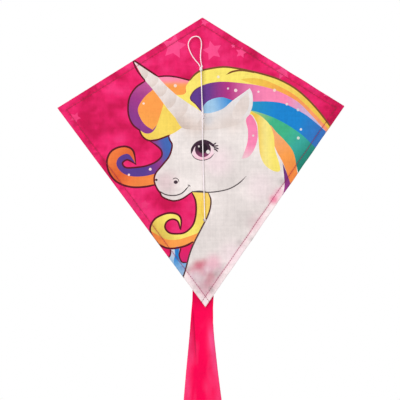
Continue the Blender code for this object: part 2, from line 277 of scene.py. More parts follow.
def make_object(name, mesh, material, sharp_angle=40):
    """A new object at the origin from a finished mesh."""
    item = bpy.data.objects.new(name, mesh)
    bpy.context.scene.collection.objects.link(item)
    mesh.materials.append(material)
    shade_surface(mesh, sharp_angle)
    return item


def kite_piece(item, slot, *nodes):
    """Hangs an object on the kite and hides the nodes that it stands for. The slot, what it is made of, is
    not used.
    """
    if nodes:
        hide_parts(*nodes)
    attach(item, "kite")


def mesh_from(name, points, faces):
    mesh = bpy.data.meshes.new(name)
    mesh.from_pydata([tuple(p) for p in points], [], faces)
    mesh.validate()
    return mesh


def rings_mesh(name, rings, closed_along=False):
    """A skin over rings of points, each with the same count. Its ends are flat unless it closes on itself."""
    side = len(rings[0])
    faces = []
    for i in range(len(rings) if closed_along else len(rings) - 1):
        a = i * side
        b = (i + 1) % len(rings) * side
        for k in range(side):
            j = (k + 1) % side
            faces.append((a + k, a + j, b + j, b + k))
    if not closed_along:
        faces.append(tuple(reversed(range(side))))
        faces.append(tuple(range((len(rings) - 1) * side, len(rings) * side)))
    mesh = mesh_from(name, [p for ring in rings for p in ring], faces)
    bm = bmesh.new()
    bm.from_mesh(mesh)
    bmesh.ops.recalc_face_normals(bm, faces=bm.faces)
    bm.to_mesh(mesh)
    bm.free()
    return mesh


def path_frames(path):
    """A place and two square-on sides at each point of a path, turning as little as they can."""
    frames = []
    side = None
    for i, place in enumerate(path):
        ahead = path[min(i + 1, len(path) - 1)] - path[max(i - 1, 0)]
        ahead.normalize()
        if side is None:
            side = ahead.cross(Vector((0, 1, 0)))
            if side.length < 0.1:
                side = ahead.cross(Vector((1, 0, 0)))
        side = (side - ahead * side.dot(ahead)).normalized()
        frames.append((place, side, ahead.cross(side)))
    return frames


def round_ring(centre, side, up, sides, reach):
    """Points round a centre, at the distance that the reach gives for each turn."""
    return [centre + (side * math.cos(turn) + up * math.sin(turn)) * reach(turn) for turn in turns_of(sides)]


def rope_mesh(name, path, radius, strands, lay, sides=18):
    """A line of twisted strands along a path."""
    rings = []
    travelled = 0.0
    before = path[0]
    for place, side, up in path_frames(path):
        travelled += (place - before).length
        before = place
        twist = 2 * math.pi * travelled / lay
        rings.append(round_ring(
            place, side, up, sides,
            lambda turn: radius * (0.86 + 0.14 * math.cos(strands * (turn - twist)))))
    return rings_mesh(name, rings)


def turned_mesh(name, profile, start, axis, sides=32):
    """A turned shape: (distance along, radius) pairs in mm round an axis from start, closed at both ends."""
    forward = Vector(axis).normalized()
    side = forward.orthogonal().normalized()
    up = forward.cross(side)
    rings = [
        round_ring(start + forward * (along * MM), side, up, sides, lambda turn: max(radius * MM, 1e-6))
        for along, radius in profile]
    return rings_mesh(name, rings)


def join_meshes(name, meshes):
    bm = bmesh.new()
    for mesh in meshes:
        bm.from_mesh(mesh)
    joined = bpy.data.meshes.new(name)
    bm.to_mesh(joined)
    bm.free()
    return joined


def apply_modifiers(item):
    """The object's evaluated shape becomes its own plain mesh."""
    bpy.context.view_layer.update()
    depsgraph = bpy.context.evaluated_depsgraph_get()
    mesh = bpy.data.meshes.new_from_object(item.evaluated_get(depsgraph))
    item.modifiers.clear()
    item.data = mesh


def print_corners(mesh, colours):
    """Stores one colour for each face corner under the name that the cloth materials read: a printed
    drawing or a dyed colour, with painted light and shade.
    """
    attribute = mesh.color_attributes.new(name="print", type="FLOAT_COLOR", domain="CORNER")
    values = np.ones((len(mesh.loops), 4), np.float32)
    values[:, :3] = colours
    attribute.data.foreach_set("color", values.ravel())


def print_points(mesh, colours):
    """Stores one colour for each point of the mesh, at all the face corners that meet there."""
    loops = np.zeros(len(mesh.loops), int)
    mesh.loops.foreach_get("vertex_index", loops)
    print_corners(mesh, np.array(colours)[loops])


# Materials


def add_node(tree, kind, values=None, **settings):
    """A shader node with its settings, and its inputs set or linked by socket name."""
    made = tree.nodes.new(kind)
    for name, value in settings.items():
        setattr(made, name, value)
    for name, value in (values or {}).items():
        socket = made.inputs[name]
        if isinstance(value, bpy.types.NodeSocket):
            tree.links.new(value, socket)
        else:
            socket.default_value = value
    return made


def maths(tree, operation, a, b=0.0):
    return add_node(tree, "ShaderNodeMath", {0: a, 1: b}, operation=operation).outputs[0]


def stretched_noise(tree, vector, scale, detail=2.0):
    """Noise with its own scale along each axis, in cycles per metre."""
    place = add_node(tree, "ShaderNodeMapping", {"Vector": vector, "Scale": scale})
    found = add_node(
        tree, "ShaderNodeTexNoise",
        {"Vector": place.outputs["Vector"], "Scale": 1.0, "Detail": detail, "Roughness": 0.55})
    return found.outputs["Fac"]


def surface_group(name, inputs, outputs):
    """A group that takes a place and some amounts and gives some amounts."""
    group = bpy.data.node_groups.new(name, "ShaderNodeTree")
    group.interface.new_socket("Vector", in_out="INPUT", socket_type="NodeSocketVector")
    for label, default in inputs:
        socket = group.interface.new_socket(label, in_out="INPUT", socket_type="NodeSocketFloat")
        socket.default_value = default
    for label in outputs:
        group.interface.new_socket(label, in_out="OUTPUT", socket_type="NodeSocketFloat")
    return group, add_node(group, "NodeGroupInput").outputs, add_node(group, "NodeGroupOutput").inputs


def woven_cloth_group():
    """Threads, slubs and soft creases of a plain-woven cloth: a shade that multiplies its colour, and a
    height."""
    name = "Woven cloth"
    if name in bpy.data.node_groups:
        return bpy.data.node_groups[name]
    group, given, result = surface_group(
        name, [("Threads per metre", 2200.0), ("Slub", 0.12), ("Crease", 0.6), ("Blotch", 0.05)],
        ["Shade", "Height"])

    def spread(scale, detail, amount):
        """Noise about zero, times an amount."""
        found = stretched_noise(group, given["Vector"], scale, detail)
        return maths(group, "MULTIPLY", maths(group, "SUBTRACT", found, 0.5), amount)

    parts = add_node(group, "ShaderNodeSeparateXYZ", {"Vector": given["Vector"]})
    turns = maths(group, "MULTIPLY", given["Threads per metre"], math.pi)
    warp, weft = (
        maths(group, "SINE", maths(group, "MULTIPLY", parts.outputs[axis], turns)) for axis in ("X", "Z"))
    weave = maths(group, "MULTIPLY", warp, weft)
    down = stretched_noise(group, given["Vector"], (430.0, 430.0, 16.0))
    across = stretched_noise(group, given["Vector"], (14.0, 430.0, 390.0))
    slubs = maths(group, "SUBTRACT", maths(group, "ADD", down, across), 1.0)
    crease = stretched_noise(group, given["Vector"], (70.0, 70.0, 55.0), detail=4.0)
    shade = maths(group, "ADD", maths(group, "MULTIPLY", slubs, given["Slub"]), 1.0)
    shade = maths(group, "ADD", shade, spread((1500.0, 1500.0, 1500.0), 1.0, 0.10))
    shade = maths(group, "ADD", shade, spread((260.0, 260.0, 210.0), 3.0, given["Blotch"]))
    height = maths(group, "ADD", maths(group, "MULTIPLY", weave, 0.10), maths(group, "MULTIPLY", slubs, 0.35))
    height = maths(group, "ADD", height, maths(group, "MULTIPLY", crease, given["Crease"]))
    group.links.new(shade, result["Shade"])
    group.links.new(height, result["Height"])
    return group


def surface_wear_group():
    """Faint uneven patches on a hard surface: a shade, a roughness and a height."""
    name = "Handled surface"
    if name in bpy.data.node_groups:
        return bpy.data.node_groups[name]
    group, given, result = surface_group(
        name, [("Scale", 300.0), ("Roughness", 0.4), ("Amount", 0.15)], ["Shade", "Roughness", "Height"])
    spots = add_node(
        group, "ShaderNodeTexNoise",
        {"Vector": given["Vector"], "Scale": given["Scale"], "Detail": 4.0}).outputs["Fac"]
    spread = maths(group, "MULTIPLY", maths(group, "SUBTRACT", spots, 0.5), given["Amount"])
    group.links.new(maths(group, "ADD", 1.0, spread), result["Shade"])
    group.links.new(maths(group, "ADD", given["Roughness"], spread), result["Roughness"])
    group.links.new(spots, result["Height"])
    return group


def surface_material(name, base, group, values, distance, shader_values):
    """A material that a surface group shades and bumps. The base is a colour, or the name of a colour
    attribute that holds a printed drawing or a dyed colour, with painted light and shade. Values that are
    even all over are set on the shader's own sockets."""
    material = bpy.data.materials.new(name)
    material.use_nodes = True
    tree = material.node_tree
    shader = tree.nodes["Principled BSDF"]
    for label, value in shader_values.items():
        shader.inputs[label.replace("_", " ")].default_value = value
    place = add_node(tree, "ShaderNodeTexCoord").outputs["Object"]
    surface = add_node(tree, "ShaderNodeGroup", {"Vector": place, **values}, node_tree=group)
    mix = add_node(tree, "ShaderNodeMix", {"Factor": 1.0}, data_type="RGBA", blend_type="MULTIPLY")
    first, second = [s for s in mix.inputs if s.type == "RGBA"]
    if isinstance(base, str):
        tree.links.new(add_node(tree, "ShaderNodeAttribute", attribute_name=base).outputs["Color"], first)
    else:
        first.default_value = (*base, 1.0)
    tree.links.new(surface.outputs["Shade"], second)
    tree.links.new(next(s for s in mix.outputs if s.type == "RGBA"), shader.inputs["Base Color"])
    bump = add_node(tree, "ShaderNodeBump", {"Height": surface.outputs["Height"], "Distance": distance})
    tree.links.new(bump.outputs["Normal"], shader.inputs["Normal"])
    if "Roughness" in surface.outputs:
        tree.links.new(surface.outputs["Roughness"], shader.inputs["Roughness"])
    return material


def cloth_material(name, base, threads, slub, crease, distance, blotch=0.05, **shader_values):
    values = {"Threads per metre": threads, "Slub": slub, "Crease": crease, "Blotch": blotch}
    return surface_material(name, base, woven_cloth_group(), values, distance, shader_values)


def hard_material(name, base, scale, roughness, amount, distance, **shader_values):
    values = {"Scale": scale, "Roughness": roughness, "Amount": amount}
    return surface_material(name, base, surface_wear_group(), values, distance, shader_values)


# The drawing on the sail


class Shape:
    """One flat area of the drawing, filled with an even run of colours from start to end."""

    def __init__(self, outline, colours, start=(0, 0), end=(1, 0), cloud=0.0):
        self.outline = np.array([tuple(p) for p in outline], float)[:, :2]
        self.colours = np.array(colours, float).reshape(-1, 3)
        self.start = np.array(start, float)
        self.run = np.array(end, float) - self.start
        self.cloud = cloud

    def covers(self, points):
        """Which of the points lie inside the outline."""
        x, z = points[:, 0], points[:, 1]
        found = np.zeros(len(points), bool)
        low, high = self.outline.min(0), self.outline.max(0)
        near = np.nonzero((x >= low[0]) & (x <= high[0]) & (z >= low[1]) & (z <= high[1]))[0]
        x, z = x[near], z[near]
        inside = np.zeros(len(near), bool)
        for (ax, az), (bx, bz) in zip(self.outline, np.roll(self.outline, -1, 0)):
            if az == bz:
                continue
            crosses = (az > z) != (bz > z)
            inside ^= crosses & (x < ax + (z - az) * (bx - ax) / (bz - az))
        found[near] = inside
        return found

    def colours_at(self, points):
        if len(self.colours) == 1:
            return np.repeat(self.colours, len(points), 0)
        share = (points - self.start) @ self.run / (self.run @ self.run)
        place = np.clip(share, 0, 1) * (len(self.colours) - 1)
        low = np.minimum(place.astype(int), len(self.colours) - 2)
        share = (place - low)[:, None]
        return self.colours[low] * (1 - share) + self.colours[low + 1] * share


def area(points, colours, start, end, cloud=HAIR_CLOUD):
    return Shape(curve_points(points, closed=True), colours, start, end, cloud)


def disc(x, z, radius, colours, squeeze=1.0, sides=20):
    outline = [
        Vector((x + radius * math.cos(t), z + radius * squeeze * math.sin(t))) for t in turns_of(sides)]
    return Shape(outline, colours, (x, z + radius), (x, z - radius))


def stroke(points, width, colour_of_line, start_share=0.3, end_share=0.3):
    """A drawn line that swells from its start and thins to its end."""
    path = curve_points(points, step=1.6)
    left, right = [], []
    for i, place in enumerate(path):
        ahead = (path[min(i + 1, len(path) - 1)] - path[max(i - 1, 0)]).normalized()
        share = i / (len(path) - 1)
        swell = min(1.0, start_share + share * 6, end_share + (1 - share) * 6)
        side = Vector((-ahead.y, ahead.x)) * width * swell * 0.62
        left.append(place + side)
        right.append(place - side)
    return Shape(left + right[::-1], [colour_of_line])


def star(x, z, radius, lean, fill):
    outline = []
    for k in range(10):
        turn = math.radians(lean + 36 * k)
        reach = radius if k % 2 == 0 else radius * 0.5
        outline.append(Vector((x + reach * math.sin(turn), z + reach * math.cos(turn))))
    return Shape(outline, [fill], cloud=STAR_CLOUD)


def mixed(a, b, share):
    return tuple(x * (1 - share) + y * share for x, y in zip(a, b))


# Lines that bound an area and are also drawn in ink
MANE_TOP = [
    (-14, 27.5), (-8, 34), (0, 38), (20, 41.2), (35, 39.8), (50, 36.8), (65, 33), (80, 28), (95, 20),
    (110, 8), (122, -5)]
LOCK_SIDE = [(-60, 27), (-69.5, 20.5), (-76, 11), (-78, 0), (-77, -10), (-73, -18), (-67, -23)]
CURL_INSIDE = [
    (-50, -38.5), (-44.5, -44), (-44, -50), (-50, -56), (-60, -60), (-71, -61.5), (-81, -61.5),
    (-84.5, -57), (-80, -53.5), (-75, -55.5)]
CURL_MIDDLE = [(-62, -70.5), (-75, -70.5), (-85, -66.5), (-90.5, -59), (-89, -52), (-83, -48), (-77, -48.5)]
CURL_OUTSIDE = [
    (-73, -45), (-80, -40), (-89.5, -41), (-97, -46), (-100.5, -56), (-97.5, -68), (-89, -77),
    (-76, -81.5), (-62, -81.5)]
BROW = [(-33, -39), (-36, -50), (-43, -59), (-50.5, -68)]
MUZZLE = BROW + [(-52, -76), (-49, -84), (-46, -88)]
CHIN = [(-44, -92), (-37, -95.5), (-30, -96.5), (-22, -94)]
THROAT = [(4, -88.3), (6.8, -96), (6, -105), (2.8, -114), (-2, -123), (-11, -140)]
BEARD_CURL = [
    (-9.5, -96), (-8.6, -105), (-9.8, -115), (-13, -123), (-20.5, -129.5), (-29, -130.8), (-37, -129.5),
    (-41.5, -124), (-39.5, -118), (-33.5, -115.5), (-28, -118)]


def coat_shapes(c):
    """The head, neck and chest."""
    body = area(
        [(-24, -16), (-36, -30), (-36, -30), *MUZZLE, (-46, -88), *CHIN, (-13, -88), (-13, -88), (-5, -96),
         (0, -110), (-8, -132), (-15, -150), (-20, -168), (-24, -180), (-24, -180), (-10, -204), (0, -216),
         (0, -216), (60, -145), (104, -80), (96, -50), (70, -20), (50, -6), (20, 0), (0, 0)],
        [c.white, mixed(c.white, c.shade, 0.18)], (0, 0), (60, -160), COAT_CLOUD)
    return [body]


def mane_shapes(c):
    """The rainbow mane behind the ear."""
    lilac = mixed(c.pink, c.sky, 0.55)
    dusk = mixed(c.magenta, c.pink, 0.45)
    return [
        area(
            [(-14, 27.5), *MANE_TOP, (135, -22), (135, -22), (128, -40), (90, -30), (60, -12), (30, -4),
             (-2, -8), (-2, -8), (-16, 3), (-31, 14), (-31, 14), (-19, 14), (-18, 21)],
            [c.yellow, c.yellow, mixed(c.yellow, c.gold, 0.5), c.gold], (0, 30), (120, -10)),
        area(
            [(40, 28.5), (54, 29.5), (66, 27), (82, 20), (96, 12), (110, 0), (126, -17), (132, -25),
             (126, -27), (112, -10), (96, 4), (80, 14), (60, 21.5), (46, 25.5)],
            [mixed(c.yellow, c.gold, 0.55), c.gold, c.orange, mixed(c.orange, c.pink, 0.25)], (24, 0),
             (128, 0)),
        area(
            [(-13.5, 9), (-9, 17), (0, 22.5), (10, 25.2), (22, 26), (40, 24.5), (60, 21.5), (80, 15.5),
             (100, 4.5), (114, -9), (128, -24.5), (128, -24.5), (133, -32), (112, -16), (85, -2), (50, 0),
             (20, -8), (-2, -5), (-2, -5), (-8, 3)],
            [c.purple, mixed(c.purple, c.magenta, 0.2), mixed(c.magenta, c.ground, 0.2),
             mixed(dusk, c.pink, 0.4), c.pink, c.pink, lilac, mixed(lilac, c.sky, 0.5)], (-14, 0), (128, 0)),
        area(
            [(-1.5, -1), (-1.5, -1), (4, 5.5), (12, 9), (21, 9.8), (31, 6.5), (31, 6.5), (22, -2), (10, -6),
             (0, -7)],
            [c.sky, c.sky, mixed(c.sky, c.blue, 0.6), c.blue], (0, -2), (30, 6)),
        area(
            [(50, 5.3), (50, 5.3), (68, 5.4), (85, 3), (100, -4), (112, -11.5), (131, -27.5), (131, -27.5),
             (119, -46), (119, -46), (104, -30), (88, -19), (72, -11), (50, -4.5), (50, -4.5)],
            [mixed(c.blue, c.green, 0.25), c.blue, c.blue, mixed(c.blue, c.purple, 0.35)], (50, 0),
             (124, -30)),
        area(
            [(50, -4), (60, -6.5), (75, -12), (90, -20), (105, -30.5), (119, -44), (119, -44), (100, -72),
             (100, -72), (98, -62), (94, -47), (85, -35), (74, -24), (62, -11.5), (52, -5.5)],
            [mixed(c.green, c.yellow, 0.35), c.green, c.green, mixed(c.green, c.blue, 0.25), c.pine],
             (54, -6), (108, -58)),
        area(
            [(70, -19.5), (77, -27), (86, -36), (94.5, -47.5), (98, -62), (99, -74), (99, -74), (90, -86),
             (90, -86), (88, -72), (83, -58), (77, -47), (73, -36)],
            [mixed(c.orange, c.white, 0.15), c.orange, mixed(c.orange, c.rust, 0.45)], (76, -30), (94, -74)),
        area(
            [(83, -59), (83, -59), (87.5, -70), (91.5, -82), (91.5, -82), (83, -93), (83, -93), (85, -82)],
            [mixed(c.purple, c.outline, 0.3), c.magenta], (86, -64), (84, -90)),
        area(
            [(49, -5), (49, -5), (60, -9.5), (70, -19.5), (74, -31), (75, -45), (79, -58), (80, -67),
             (73, -67), (64, -60.5), (59, -49), (57.5, -32), (56, -17)],
            [c.gold, mixed(c.yellow, c.white, 0.15), c.yellow], (55, 0), (74, 0)),
        area(
            [(48, -8), (44.5, -14), (46.5, -25), (45.5, -38), (39.5, -54), (39.5, -54), (47, -52),
             (53, -44), (56.5, -33), (56, -20), (52, -11)],
            [mixed(c.pink, c.ground, 0.15), c.pink, c.pink, mixed(c.pink, c.white, 0.65)], (50, -8),
             (42, -54)),
        area(
            [(-46.5, 31), (-38, 32), (-28, 31), (-14, 27.5), (-14, 27.5), (-18, 21), (-19.5, 13.5),
             (-31, 13.5), (-40, 22)],
            [c.pink, mixed(c.pink, c.orange, 0.2), c.orange, c.orange, c.orange], (-30, 32), (-30, 13)),
    ]


def curl_shapes(c):
    """The locks in front of the horn and the two curls beside and under the muzzle."""
    amber = mixed(c.orange, c.rust, 0.6)
    return [
        area(
            [(-60, 27), *LOCK_SIDE, (-67, -23), (-55, -29), (-40, -24), (-30, -10), (-42, 6), (-51, 18)],
            [mixed(c.magenta, c.pink, 0.25), c.magenta, mixed(c.magenta, c.purple, 0.4)], (-58, 24),
             (-74, -8)),
        area(
            [(-51, 19), (-51, 19), (-61, 10.5), (-67.8, -1), (-65.5, -11), (-60, -18.5), (-53, -23),
             (-53, -23), (-48, -17), (-44, -6), (-41, 5), (-41, 5), (-46, 12)],
            [c.orange, mixed(c.orange, c.rust, 0.05), mixed(c.orange, c.gold, 0.15)], (-50, 16), (-58, -20)),
        area(
            [(-67.5, -22), (-67.5, -22), (-61, -26.5), (-54.5, -26), (-50, -21), (-46, -11), (-41, 5),
             (-41, 5), (-30, -8), (-20, -19), (-20, -19), (-30, -26), (-40, -30), (-50, -33.5),
             (-58, -33.5), (-63.5, -29)],
            [mixed(c.gold, c.yellow, 0.25), mixed(c.yellow, c.gold, 0.45), mixed(c.yellow, c.gold, 0.6)],
             (-64, -28), (-24, -12)),
        area(
            [(-46, -32), (-36, -29.5), (-36, -29.5), *BROW, (-50.5, -68), *CURL_MIDDLE, (-70.5, -58.5),
             (-70.5, -58.5), *CURL_INSIDE[::-1], (-57.5, -33.5), (-57.5, -33.5)],
            [mixed(c.blue, c.purple, 0.45), mixed(c.blue, c.purple, 0.62), mixed(c.magenta, c.purple, 0.2),
             mixed(c.purple, c.magenta, 0.2), c.purple, c.purple], (-34, -40), (-74, -52)),
        area(
            [(-50.5, -68), (-50.5, -68), (-51.5, -79.5), (-51.5, -79.5), *CURL_OUTSIDE[::-1],
             (-70.5, -58.5), (-70.5, -58.5), *CURL_MIDDLE[::-1]],
            [mixed(c.orange, c.rust, 0.45), amber, mixed(c.rust, c.outline, 0.08),
             mixed(amber, c.rust, 0.3)], (-51, -70), (-92, -46)),
        area(
            [(-12.5, -87.5), (-12.5, -87.5), (-5, -86.8), (4, -88.3), *THROAT, (-11, -140), (-22, -144),
             (-36, -146), (-47, -142), (-54.5, -134), (-57, -124), (-52, -115), (-42, -110), (-32, -109.5),
             (-25.5, -113.5), (-25.5, -126), (-25.5, -126), *BEARD_CURL[::-1]],
            [mixed(c.yellow, c.orange, 0.3), mixed(c.yellow, c.gold, 0.5), c.yellow, c.yellow,
             mixed(c.gold, c.green, 0.12)], (2, -92), (-50, -126)),
        area(
            [(-56.5, -127), (-56.5, -127), (-50, -131), (-41, -136), (-30, -137), (-19, -134.5), (-6, -130),
             (-6, -130), (-11, -140), (-22, -144), (-36, -146), (-47, -142), (-54, -134.5)],
            [mixed(c.rust, c.orange, 0.4), c.orange, c.orange], (-54, -132), (-12, -136)),
        area(
            [(-36, -146), (-36, -146), (-26, -144.5), (-26, -144.5), (-27, -152), (-24, -160),
             (-19.5, -161), (-21, -170), (-24.5, -180), (-24.5, -180), (-34, -166), (-39, -157),
             (-39, -157), (-36, -152)],
            [mixed(c.sky, c.purple, 0.15), c.blue, mixed(c.blue, c.sky, 0.5), mixed(c.sky, c.purple, 0.2)],
             (-34, -147), (-25, -172)),
        area(
            [(-36, -146), (-36, -146), (-32.5, -145.4), (-31.5, -151), (-32.5, -158), (-34, -166),
             (-40, -160), (-36.2, -152)],
            [mixed(c.white, c.sky, 0.35), mixed(c.sky, c.purple, 0.12)], (-34, -146), (-36, -160)),
        area(
            [(-31, -145.2), (-27, -144.6), (-27.6, -152), (-25.4, -159.5), (-22.5, -164), (-26, -163.5),
             (-29.8, -157), (-31, -151)],
            [mixed(c.blue, c.purple, 0.25), c.blue, c.sky], (-29, -146), (-24, -165)),
        area(
            [(-25, -146.5), (-14, -142.5), (-14, -142.5), (-16.5, -152), (-19.5, -160.5), (-24.5, -160),
             (-27, -153)],
            [c.ground, mixed(c.ground, c.magenta, 0.25)], (-20, -145), (-22, -160)),
    ]


def head_shapes(c):
    """The crown, the ear and the horn over the mane."""

    def tinted(*shares):
        """The coat's white with some of the horn's colour, for each share."""
        return [mixed(c.white, c.horn, share) for share in shares]

    crown = area(
        [(-12, -4), (2, -6.5), (11, -5.3), (21, -1.5), (30, 6), (40, 13), (48.8, 19.2), (48.8, 19.2),
         (51.5, 13.5), (52, 4), (50, -4), (45.5, -11), (30, -20), (0, -24), (-22, -20)],
        [mixed(c.white, c.sky, 0.12), *tinted(0.12, 0.42)], (4, -4), (2, -24), CROWN_CLOUD)
    ear = area(
        [(47, 15.5), (47, 15.5), (48.5, 6), (46.5, -3), (42, -9), (34, -13), (30, -9), (33, 0), (39, 8)],
        tinted(0.25, 0.55, 0.30), (46, 14), (33, -12))
    pearl = mixed(c.white, c.horn, 0.12)
    rings = (
        ((-16, 4.2), (-29, -11.5)), ((-28, 12.4), (-38, -1)), ((-37.5, 21), (-46.5, 11)),
        ((-46.5, 30.6), (-54.5, 21)), ((-56.5, 37.6), (-61.5, 29)), ((-72.3, 48.3), (-72.3, 48.3)))
    horn = [area(
        [(-1, -5.5), (-1, -5.5), (-4, -13), (-9.5, -19.5), (-16, -22.8), (-22.5, -21), (-27, -15.5),
         (-29, -11.5), (-29, -11.5), (-16, 4.2), (-16, 4.2)],
        [c.white, pearl, mixed(pearl, c.horn, 0.6), mixed(c.horn, c.pencil, 0.1)],
        (-4, -1), (-18, -23.5), HORN_CLOUD)]
    for ends in zip(rings, rings[1:]):
        (upper, lower), (next_upper, next_lower) = ((Vector(a), Vector(b)) for a, b in ends)
        bulge = Vector((0.62, -0.78)) * 0.22 * (upper - lower).length
        belly = [
            lower.lerp(upper, share) + bulge * swell
            for share, swell in ((0.2, 0.75), (0.5, 1.0), (0.8, 0.75))]
        corners = [v for v in (upper, next_upper, next_lower, lower) for _ in (0, 1)]
        horn.append(area(
            corners + belly, tinted(0.12, 0.3, 0.5, 0.75), (next_upper + next_lower) / 2, belly[0],
            HORN_CLOUD))
    return [crown, ear] + horn


def face_shapes(c):
    """A plain storybook eye, a nostril and a smile."""
    shapes = [
        disc(
            -1, -46.5, 11.2, [mixed(c.white, c.blush, 0.5), c.blush, mixed(c.blush, c.pink, 0.45)], 0.76,
             32),
        disc(-1, -43.6, 8.3, [c.eye, c.eye, mixed(c.eye, mixed(c.magenta, c.pink, 0.4), 0.45)], 1.0, 32),
        disc(-1, -42.6, 4.8, [mixed(c.eye, (0.0, 0.0, 0.0), 0.6)], 1.05, 24),
        disc(4.4, -46.3, 2.0, [c.white], 1.0, 14),
        disc(-5.2, -40.6, 1.1, [mixed(c.white, c.eye, 0.3)], 1.0, 10),
        stroke(
            [(-13.2, -48), (-11.5, -42), (-7, -37), (0, -35), (6, -37), (11, -41)], 2.2, c.eye, 0.3, 0.6),
        stroke([(-12.8, -48.5), (-9, -53), (-2, -55), (6, -53), (11, -48)], 0.7, c.pencil, 0.4, 0.2),
        disc(-29.6, -77.2, 2.2, [mixed(c.pencil, c.eye, 0.7)], 0.85, 16),
        disc(-49.8, -74.6, 1.3, [mixed(c.pencil, c.eye, 0.6)], 1.0, 12),
        stroke([(-33, -74.2), (-30, -73), (-27, -74.5), (-26.3, -77.5)], 0.7, c.pencil),
        stroke(
            [(-46.5, -86.5), (-40, -90), (-31, -91), (-23, -88.5), (-16, -81.5)], 1.0, c.pencil, 0.8, 0.4),
        stroke([(-17.5, -80.5), (-15.5, -80.8), (-14.5, -82.2)], 0.8, c.pencil),
        stroke(
            [(-13, -87.3), (5, -88.3), (18, -87), (28, -84.3), (37, -79), (44.5, -72)], 1.0, c.pencil, 0.9,
             0.2),
    ]
    lashes = (
        (8.5, -39.4, 4.5, 2.6), (9.8, -40.6, 5.6, 0.8), (10.5, -42.0, 5.2, -1.6), (10.8, -43.5, 3.8, -3.0))
    for x, z, dx, dz in lashes:
        shapes.append(stroke([(x, z), (x + dx * 0.6, z + dz * 0.4), (x + dx, z + dz)], 1.1, c.eye, 1.0, 0.1))
    return shapes


def outline_strokes(c):
    """The dark lines round the hair, the horn and the face."""
    ink = c.outline
    brown = mixed(c.outline, c.gold, 0.12)
    return [
        stroke([*MANE_TOP, (136, -23)], 1.5, brown, 0.7, 1.0),
        stroke([(24.5, 33.4), (31, 36.4), (41, 37.6), (54, 35.6)], 1.5, brown, 0.1, 1.0),
        stroke([(-47, 31.3), (-38, 32), (-28, 31), (-14, 27.5)], 1.3, ink, 0.6, 0.9),
        stroke([(-73, 49), (-60, 40.3), (-46, 31)], 1.5, ink, 1.0, 0.3),
        stroke([(-73, 49), (-68, 37.5), (-60, 27)], 1.3, ink, 1.0, 0.6),
        stroke([*LOCK_SIDE], 1.4, ink, 0.6, 0.8),
        stroke(
            [(-67, -22), (-64, -29), (-58, -33.7), (-50, -33.7), (-40, -30.5), (-35.5, -28.5)], 1.4, ink,
             0.6, 0.4),
        stroke(
            [(0, 22.5), (-9, 17), (-13.5, 9), (-8, 3), (-2, -4.5)], 0.9, mixed(c.purple, ink, 0.6), 0.3,
             0.5),
        stroke([(-57, -34), *CURL_INSIDE, (-70.5, -58.5)], 1.4, ink, 0.3, 0.5),
        stroke([(-70.5, -59), *CURL_OUTSIDE, (-51, -79.5)], 1.6, ink, 0.4, 0.7),
        stroke([(-36.5, -29), (-36, -33), *MUZZLE, *CHIN, (-13, -87.7)], 1.4, ink, 0.5, 0.6),
        stroke([(-13, -88), *BEARD_CURL, (-25.5, -126)], 1.5, ink, 0.6, 0.7),
        stroke(
            [(-25, -127), (-24.5, -116), (-28, -110.8), (-36, -109), (-45, -111), (-53, -116), (-57, -125),
             (-54, -134.5), (-47, -142), (-36, -146), (-22, -144), (-12, -139.5)], 1.6, ink, 0.5, 0.8),
        stroke([*THROAT, (-16, -152), (-21, -170), (-25, -181)], 1.3, mixed(c.pencil, ink, 0.5), 0.5, 1.0),
        stroke([(-12.5, -87.5), (-5, -86.8), (4, -88.3)], 0.8, c.pencil, 0.6, 0.6),
        stroke([(-36, -146.5), (-36, -152), (-39.5, -158)], 1.2, ink, 0.5, 1.0),
        stroke([(-25, -146), (-27, -153), (-24.5, -160), (-19.5, -160.8)], 1.2, ink, 0.7, 0.6),
        stroke([(-3, -97), (-3.4, -106), (-1.5, -114)], 0.7, c.gold, 0.3, 0.3),
    ]


def drawing_shapes(c):
    """Every area of the print, from the ground up."""
    ground = Shape([Vector(p) * 1.2 for p in CORNERS], [c.ground], cloud=GROUND_CLOUD)
    stars = [
        star(x, z, radius, lean, mixed(c.ground, c.star, share))
        for x, z, radius, lean, share in (
            (-30, 62, 13, 8, 0.62), (10, 58, 10.5, -14, 0.62), (40, 56, 6, 12, 0.62), (84, 36, 8.5, -8, 0.62),
            (2, 87, 4.2, 20, 0.6), (32, 63, 2.6, 0, 0.8), (130, 13, 3.2, 16, 0.7), (-132, -10, 6, 24, 0.35),
            (-62, -100, 5, 6, 0.25))]
    glints = [
        disc(x, z, radius, [mixed(under, c.white, 0.75)], 1.0, 10)
        for x, z, radius, under in (
            (100, -3.5, 1.5, c.blue), (88, 2.5, 1.4, c.pink), (34, 17, 1.8, c.pink), (26, 19, 1.1, c.magenta),
            (58, 15.5, 1.2, c.pink), (75, 17, 1.6, c.orange), (-29, 22, 1.7, c.orange),
            (16, 31, 1.5, c.yellow), (-56, -63.5, 1.5, c.pink), (-78, -69, 1.2, c.pink),
            (100, -33, 1.6, c.green), (103, -24, 1.3, c.sky),
            (-62, 4, 1.2, c.orange), (52, -30, 1.2, c.pink))]
    return ([ground] + stars + coat_shapes(c) + mane_shapes(c) + curl_shapes(c) + head_shapes(c)
            + face_shapes(c) + outline_strokes(c) + glints)


